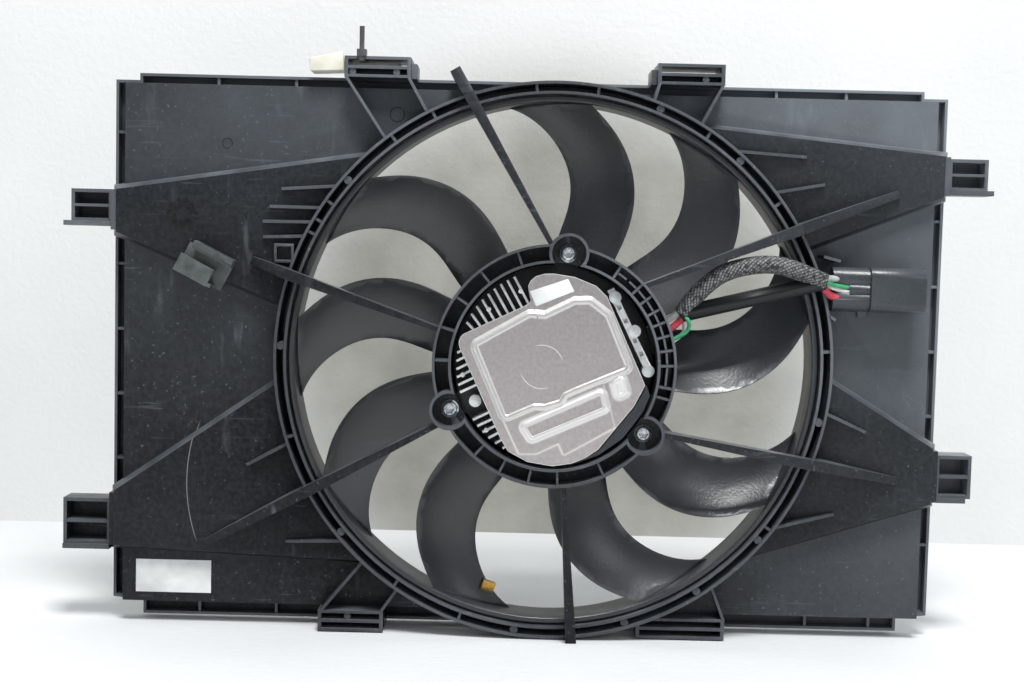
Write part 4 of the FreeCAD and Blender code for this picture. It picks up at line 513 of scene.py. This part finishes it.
def flanged_screws():
    """The three screws: a section turned round each axis, whose socket's wall swells into six lobes by about
    an eighth of its radius."""
    turn = np.linspace(0, 2 * np.pi, 72, endpoint=False)
    radius = np.repeat(SCREW_SECTION[:, :1], len(turn), axis=1)
    lobes, swell = 6, 0.13
    radius[1:5] *= 1 + swell * np.cos(lobes * turn)
    depth = np.repeat(SCREW_SECTION[:, 1:], len(turn), axis=1)
    points, faces = [], []
    for angle in np.radians(SCREW_ANGLES):
        middle = SCREW_CIRCLE * np.array([math.cos(angle), math.sin(angle)])
        screw = np.stack([middle[0] + radius * np.cos(turn), -depth, middle[1] + radius * np.sin(turn)], -1)
        faces.append(grid_faces(len(radius), len(turn), False, True)[:, ::-1] + radius.size * len(points))
        points.append(screw.reshape(-1, 3))
    return new_piece("flanged_screws", np.concatenate(points), np.concatenate(faces), 50)


dress(flanged_screws(), "motor_screws", "shroud", "zinc", zinc_plate)
dress(rounded_copy("carrier_bushes", 0.2), "carrier_bushes", "shroud", "zinc", zinc_plate)
dress(rounded_copy("fan_screws", 0.4), "fan_screws", "rotor", "zinc", zinc_plate)

# ---------------------------------------------------------------- inside the motor
# Hidden when the motor is whole: plain steel, ferrite, laminations, enamelled wire, a lacquered board.


def plain_metal(name, dark, light, roughness, patch_mm):
    """A bare metal mottled between two tones."""
    made, tree, shader = new_material(name, Metallic=1.0, Roughness=roughness)
    tree.links.new(blend(tree, blotches(tree, patch_mm, 0.3, 0.7), dark, light), shader.inputs["Base Color"])
    relief(tree, shader, blotches(tree, patch_mm / 3, 0.3, 0.7), 0.03)
    return made


def plain_plastic(name, dark, light, roughness, patch_mm, **sockets):
    """A plastic or paint mottled between two tones."""
    made, tree, shader = new_material(name, Roughness=roughness, **sockets)
    tree.links.new(blend(tree, blotches(tree, patch_mm, 0.3, 0.7), dark, light), shader.inputs["Base Color"])
    relief(tree, shader, blotches(tree, patch_mm / 4, 0.3, 0.7), 0.03)
    return made


ground_steel = plain_metal("steel, ground", "#8f9296", "#b3b6b9", 0.3, 4)
for steel_node in ("motor_shaft", "rotor_bell", "shaft_circlip", "rear_bearing", "front_bearing"):
    finish_node(steel_node, ground_steel)
finish_node("rotor_magnets", plain_plastic("ferrite, sintered", "#1c1c1e", "#2b2b2d", 0.6, 3))
finish_node("stator_core", plain_metal("electrical steel, laminated", "#6a6d70", "#8a8d90", 0.45, 2))
finish_node("stator_coils", plain_metal("copper wire, enamelled", "#a0502c", "#c06a3e", 0.35, 1.5))
finish_node("control_board", plain_plastic("circuit board, lacquered", "#0c3a22", "#14502f", 0.3, 3))
finish_node("board_capacitors", black_pa)

# ---------------------------------------------------------------- lead: four wires in a braided sleeve
# PVC-insulated wires, two for power and two for signals, in a sleeve braided from black and grey polyester
# yarn. The yarns cross at about 40 degrees, and each stands out of the braid where it passes over.

red_pvc = plain_plastic("PVC insulation, red", "#b02a38", "#d0485a", 0.45, 5)
grey_pvc = plain_plastic("PVC insulation, grey", "#9a9c9b", "#bcbdbb", 0.45, 5)
green_pvc = plain_plastic("PVC insulation, green", "#2f8f5c", "#49ad77", 0.45, 5)
white_pvc = plain_plastic("PVC insulation, white", "#cfcfca", "#e6e6e2", 0.45, 5)
for wire_node, slot_name, pvc in (("power_lead_red", "red_insulation", red_pvc),
                                  ("power_lead_grey", "grey_insulation", grey_pvc),
                                  ("signal_lead_green", "green_insulation", green_pvc),
                                  ("signal_lead_white", "white_insulation", white_pvc)):
    dress(rounded_copy(wire_node, 0.2), wire_node, "shroud", slot_name, pvc)

SLEEVE_ROUTE = np.array([
    (88.2, 37.1, 52.0), (95.0, 48.2, 52.5), (105.2, 58.6, 54.0), (113.4, 65.2, 55.0), (124.6, 69.8, 56.0),
    (138.5, 72.6, 57.0), (150.2, 73.0, 57.0), (161.5, 70.6, 57.0), (174.0, 66.0, 55.0), (185.5, 61.5, 52.2),
])
# The sleeve's radii, how far a yarn dips under and stands out, the yarns in a set, and a yarn's length in a
# turn of its phase
SLEEVE_RADIUS, SLEEVE_BORE, YARN_DIP, YARN_HEIGHT, YARNS, YARN_PITCH = 6.15, 5.7, 0.25, 0.4, 14, 3.2


def smooth_route(corners, steps):
    """A route through corners as a clamped cubic B-spline, sampled evenly along its length."""
    corners = np.concatenate([corners[:1], corners[:1], corners, corners[-1:], corners[-1:]])
    out = []
    for t in np.linspace(0, 1, 24, endpoint=False):
        weights = np.array([(1 - t) ** 3, 3 * t ** 3 - 6 * t ** 2 + 4, -3 * t ** 3 + 3 * t ** 2 + 3 * t + 1,
                            t ** 3]) / 6
        out.append(sum(w * corners[i:len(corners) - 3 + i] for i, w in enumerate(weights)))
    path = np.stack(out, axis=1).reshape(-1, 3)
    length = np.concatenate([[0], np.cumsum(np.linalg.norm(np.diff(path, axis=0), axis=1))])
    at = np.linspace(0, length[-1], steps)
    return np.stack([np.interp(at, length, path[:, k]) for k in range(3)], axis=1), at


def tube_points(path, radius, around):
    """Circles of points about a path: each lies across the path, from the side and depth directions. The
    radius may differ from point to point."""
    ahead = np.gradient(path, axis=0)
    ahead /= np.linalg.norm(ahead, axis=1)[:, None]
    side = np.cross(ahead, np.array([0.0, -1.0, 0.0]))
    side /= np.linalg.norm(side, axis=1)[:, None]
    up = np.cross(side, ahead)
    turn = np.linspace(0, 2 * np.pi, around, endpoint=False)
    ring = side[:, None] * np.cos(turn)[None, :, None] + up[:, None] * np.sin(turn)[None, :, None]
    return path[:, None] + ring * np.asarray(radius)[..., None]


def braided_sleeve():
    """The sleeve: two crossing sets of yarns, each a ridge along a helix. Over and under follows the product of the
    two sets' phases, and the ends are turned in to the bore. The "yarn" attribute is 0 in the dips between yarns
    and in the bore, which the material paints black: painted shade."""
    centre, at = smooth_route(SLEEVE_ROUTE, 420)
    path = np.stack([centre[:, 0], -centre[:, 2], centre[:, 1]], axis=1)
    turn = np.linspace(0, 2 * np.pi, 130, endpoint=False)
    first = YARNS * turn[None, :] + 2 * np.pi * at[:, None] / YARN_PITCH
    second = YARNS * turn[None, :] - 2 * np.pi * at[:, None] / YARN_PITCH
    over = np.sign(np.sin((first + second) / 2) * np.sin((first - second) / 2))
    yarn = np.where(over > 0, np.abs(np.cos(first / 2)), np.abs(np.cos(second / 2)))
    outer = tube_points(path, SLEEVE_RADIUS - YARN_DIP + YARN_HEIGHT * yarn, len(turn))
    inner = tube_points(path[[-1, 0]], np.full((2, len(turn)), SLEEVE_BORE), len(turn))
    points = np.concatenate([outer, inner])
    faces = grid_faces(len(points), len(turn), True, True)
    made = new_piece("braided_sleeve_yarns", points.reshape(-1, 3), faces, 180)
    # Tone follows the yarn's height: black in the dips and at the bore ends, painted shade
    tone = np.concatenate([yarn * np.where(over > 0, 1.0, 0.55), np.zeros((2, len(turn)))])
    shade = made.data.attributes.new("yarn", "FLOAT", "POINT")
    shade.data.foreach_set("value", tone.ravel().astype(np.float32))
    return made


braid, braid_tree, braid_shader = new_material("polyester yarn, braided", Roughness=0.55)
yarn_shade = add(braid_tree, "ShaderNodeAttribute", attribute_name="yarn").outputs["Fac"]
# Grey yarn flecks among the black, darkened in the dips and the bore: painted shade
fleck = times(braid_tree, yarn_shade, blotches(braid_tree, 2.2, 0.35, 0.6, 4.0))
braid_tree.links.new(blend(braid_tree, fleck, "#101113", "#a4a7a6"), braid_shader.inputs["Base Color"])
dress(braided_sleeve(), "braided_sleeve", "shroud", "braid", braid)

# ---------------------------------------------------------------- connector
# A sealed shell of black nylon on a foot, with brass pins and a silicone seal in its mouth.

dress(rounded_copy("connector_housing", 0.4), "connector_housing", "shroud", "black_plastic", black_pa)
dress(rounded_copy("connector_clip", 0.4), "connector_clip", "shroud", "black_plastic", black_pa)
pressed_brass = plain_metal("brass, pressed", "#a8813e", "#cda65c", 0.32, 3)
dress(rounded_copy("connector_terminals", 0.2), "connector_terminals", "shroud", "brass", pressed_brass)
dress(rounded_copy("balance_clip", 0.3), "balance_clip", "rotor", "brass", pressed_brass)
finish_node("connector_seal", plain_plastic("silicone rubber, moulded", "#7a3422", "#96442e", 0.55, 3))

# ---------------------------------------------------------------- clips, tongue and tie
# Natural nylon, slightly clear: grey for the clip and the tie, milky for the tongue.

grey_nylon = plain_plastic("nylon, grey, moulded", "#3c4140", "#5c6160", 0.28, 8, Subsurface_Weight=0.15,
                           Subsurface_Scale=0.002)
dress(rounded_copy("harness_clip", 0.3), "harness_clip", "shroud", "grey_plastic", grey_nylon)
dark_nylon = plain_plastic("nylon, dark grey, moulded", "#3a3c3d", "#505253", 0.4, 6)
dress(rounded_copy("cable_tie", 0.3), "cable_tie", "shroud", "grey_plastic", dark_nylon)
milky_nylon = plain_plastic("nylon, natural, moulded", "#d8d6c6", "#e9e7dc", 0.35, 9, Subsurface_Weight=0.35,
                            Subsurface_Scale=0.004)
dress(rounded_copy("nylon_tongue", 0.6), "nylon_tongue", "shroud", "milky_nylon", milky_nylon)

# ---------------------------------------------------------------- labels
# Blank white paper labels, coated and stuck flat.

label_paper = plain_plastic("paper, coated", "#d9dad9", "#ecedec", 0.5, 12)
for label_node in ("panel_label", "motor_label"):
    dress(rounded_copy(label_node, 0.1, 1), label_node, "shroud", "label_white", label_paper)

# ---------------------------------------------------------------- floor and wall
# A pale painted floor and a plastered wall a third of a metre behind the shroud. The wall is one-sided, as a
# set's wall is taken away for a shot from behind: its back lets everything through.

FLOOR_HEIGHT, WALL_PLACE, WALL_TOP, ROOM_REACH = -0.1968, 0.33, 2.6, 3


def backdrop(name, corners, dark, light, patch_mm):
    """A flat sheet of the room through four corners, in metres."""
    made = new_piece(name, np.array(corners) / MM, [(0, 1, 2, 3)])
    material, tree, shader = new_material(name + " paint", Roughness=0.85)
    tone = blend(tree, blotches(tree, patch_mm, 0.3, 0.7, 5.0), dark, light)
    tree.links.new(tone, shader.inputs["Base Color"])
    relief(tree, shader, blotches(tree, 6, 0.3, 0.7, 5.0), 0.25)
    made.data.materials.append(material)


backdrop("floor", [(x, y, FLOOR_HEIGHT) for x, y in ((-ROOM_REACH, -ROOM_REACH), (ROOM_REACH, -ROOM_REACH),
                                                     (ROOM_REACH, ROOM_REACH), (-ROOM_REACH, ROOM_REACH))],
         "#dcdedf", "#e6e8e8", 240)
backdrop("wall", [(x, WALL_PLACE, z) for x, z in ((-ROOM_REACH, FLOOR_HEIGHT), (ROOM_REACH, FLOOR_HEIGHT),
                                                  (ROOM_REACH, WALL_TOP), (-ROOM_REACH, WALL_TOP))],
         "#e0e1e0", "#e9eae8", 300)
# A grey patch painted on the wall behind the fan as the shroud's shadow: its middle, and where it begins and ends
# to fade
SHADOW_MIDDLE, SHADOW_FADE = (0.009, WALL_PLACE, -0.026), (0.19, 0.33)
wall_tree = bpy.data.materials["wall paint"].node_tree
wall_shader = wall_tree.nodes["Principled BSDF"]
wall_place = add(wall_tree, "ShaderNodeTexCoord").outputs["Object"]
wall_away = add(wall_tree, "ShaderNodeVectorMath", {0: wall_place, 1: SHADOW_MIDDLE}, operation="DISTANCE")
# The painted shadow's share on the wall: 1 in its middle, fading to 0
worn = add(wall_tree, "ShaderNodeMapRange", {"Value": wall_away.outputs["Value"], "From Min": SHADOW_FADE[0],
                                             "From Max": SHADOW_FADE[1], "To Min": 1.0, "To Max": 0.0},
           interpolation_type="SMOOTHSTEP")
clean_paint = wall_shader.inputs["Base Color"].links[0].from_socket
# The grey of the painted shadow
shadow_tone = blend(wall_tree, blotches(wall_tree, 60, 0.3, 0.7, 5.0), "#94938c", "#acaba3")
wall_tone = blend(wall_tree, worn.outputs["Result"], clean_paint, shadow_tone)
wall_tree.links.new(wall_tone, wall_shader.inputs["Base Color"])
seen_from_behind = add(wall_tree, "ShaderNodeNewGeometry").outputs["Backfacing"]
clear = add(wall_tree, "ShaderNodeBsdfTransparent").outputs["BSDF"]
one_sided = add(wall_tree, "ShaderNodeMixShader", {0: seen_from_behind, 1: wall_shader.outputs["BSDF"],
                                                   2: clear})
wall_tree.links.new(one_sided.outputs[0], wall_tree.nodes["Material Output"].inputs["Surface"])

# ---------------------------------------------------------------- light and camera
# Plain studio light: a wide soft lamp above and in front, a much weaker one from the right, and a pale room.


def lamp(name, place, aim, width, power, tint):
    """A square soft lamp that faces a point."""
    light = bpy.data.lights.new(name, "AREA")
    light.shape = "SQUARE"
    light.size = width
    light.energy = power
    light.color = colour(tint)[:3]
    made = bpy.data.objects.new(name, light)
    bpy.context.scene.collection.objects.link(made)
    toward = np.array(aim, float) - np.array(place, float)
    made.rotation_euler = Vector(toward).to_track_quat("-Z", "Y").to_euler()
    made.location = place


lamp("ceiling lamp", (0.12, -0.95, 1.9), (0, 0, 0), 0.6, 48, "#ffffff")
lamp("window", (1.4, -1.6, 0.9), (0, 0, 0), 0.8, 4, "#eef4ff")

world = bpy.data.worlds.new("room")
bpy.context.scene.world = world
world.use_nodes = True
room_tree = world.node_tree
# The room is pale above and dim towards its floor: the heights of a ray between which it changes, and its
# light
ROOM_TURN, ROOM_DIM, ROOM_PALE = (-0.30, 0.40), 0.08, 0.6
room_way = add(room_tree, "ShaderNodeTexCoord").outputs["Generated"]
room_up = add(room_tree, "ShaderNodeSeparateXYZ", {"Vector": room_way}).outputs["Z"]
room_light = add(room_tree, "ShaderNodeMapRange", {"Value": room_up, "From Min": ROOM_TURN[0],
                                                   "From Max": ROOM_TURN[1], "To Min": ROOM_DIM,
                                                   "To Max": ROOM_PALE}, interpolation_type="SMOOTHSTEP")
room_tree.nodes["Background"].inputs["Color"].default_value = colour("#f0f4f8")
room_tree.links.new(room_light.outputs["Result"], room_tree.nodes["Background"].inputs["Strength"])

# The camera's place in metres, its tilts in radians and its lens in millimetres
CAMERA_PLACE = (-0.02915, -1.03674, 0.08092)
CAMERA_DOWN, CAMERA_ROLL, CAMERA_LENS = 0.06640, 0.02431, 49.99
lens = bpy.data.cameras.new("camera")
lens.lens = CAMERA_LENS
lens.sensor_width = 36.0
lens.clip_start = 0.01
camera = bpy.data.objects.new("camera", lens)
bpy.context.scene.collection.objects.link(camera)
camera.matrix_world = (Matrix.Translation(CAMERA_PLACE) @ Matrix.Rotation(math.pi / 2 - CAMERA_DOWN, 4, "X")
                       @ Matrix.Rotation(CAMERA_ROLL, 4, "Z"))
bpy.context.scene.camera = camera
bpy.context.scene.view_settings.view_transform = "Standard"
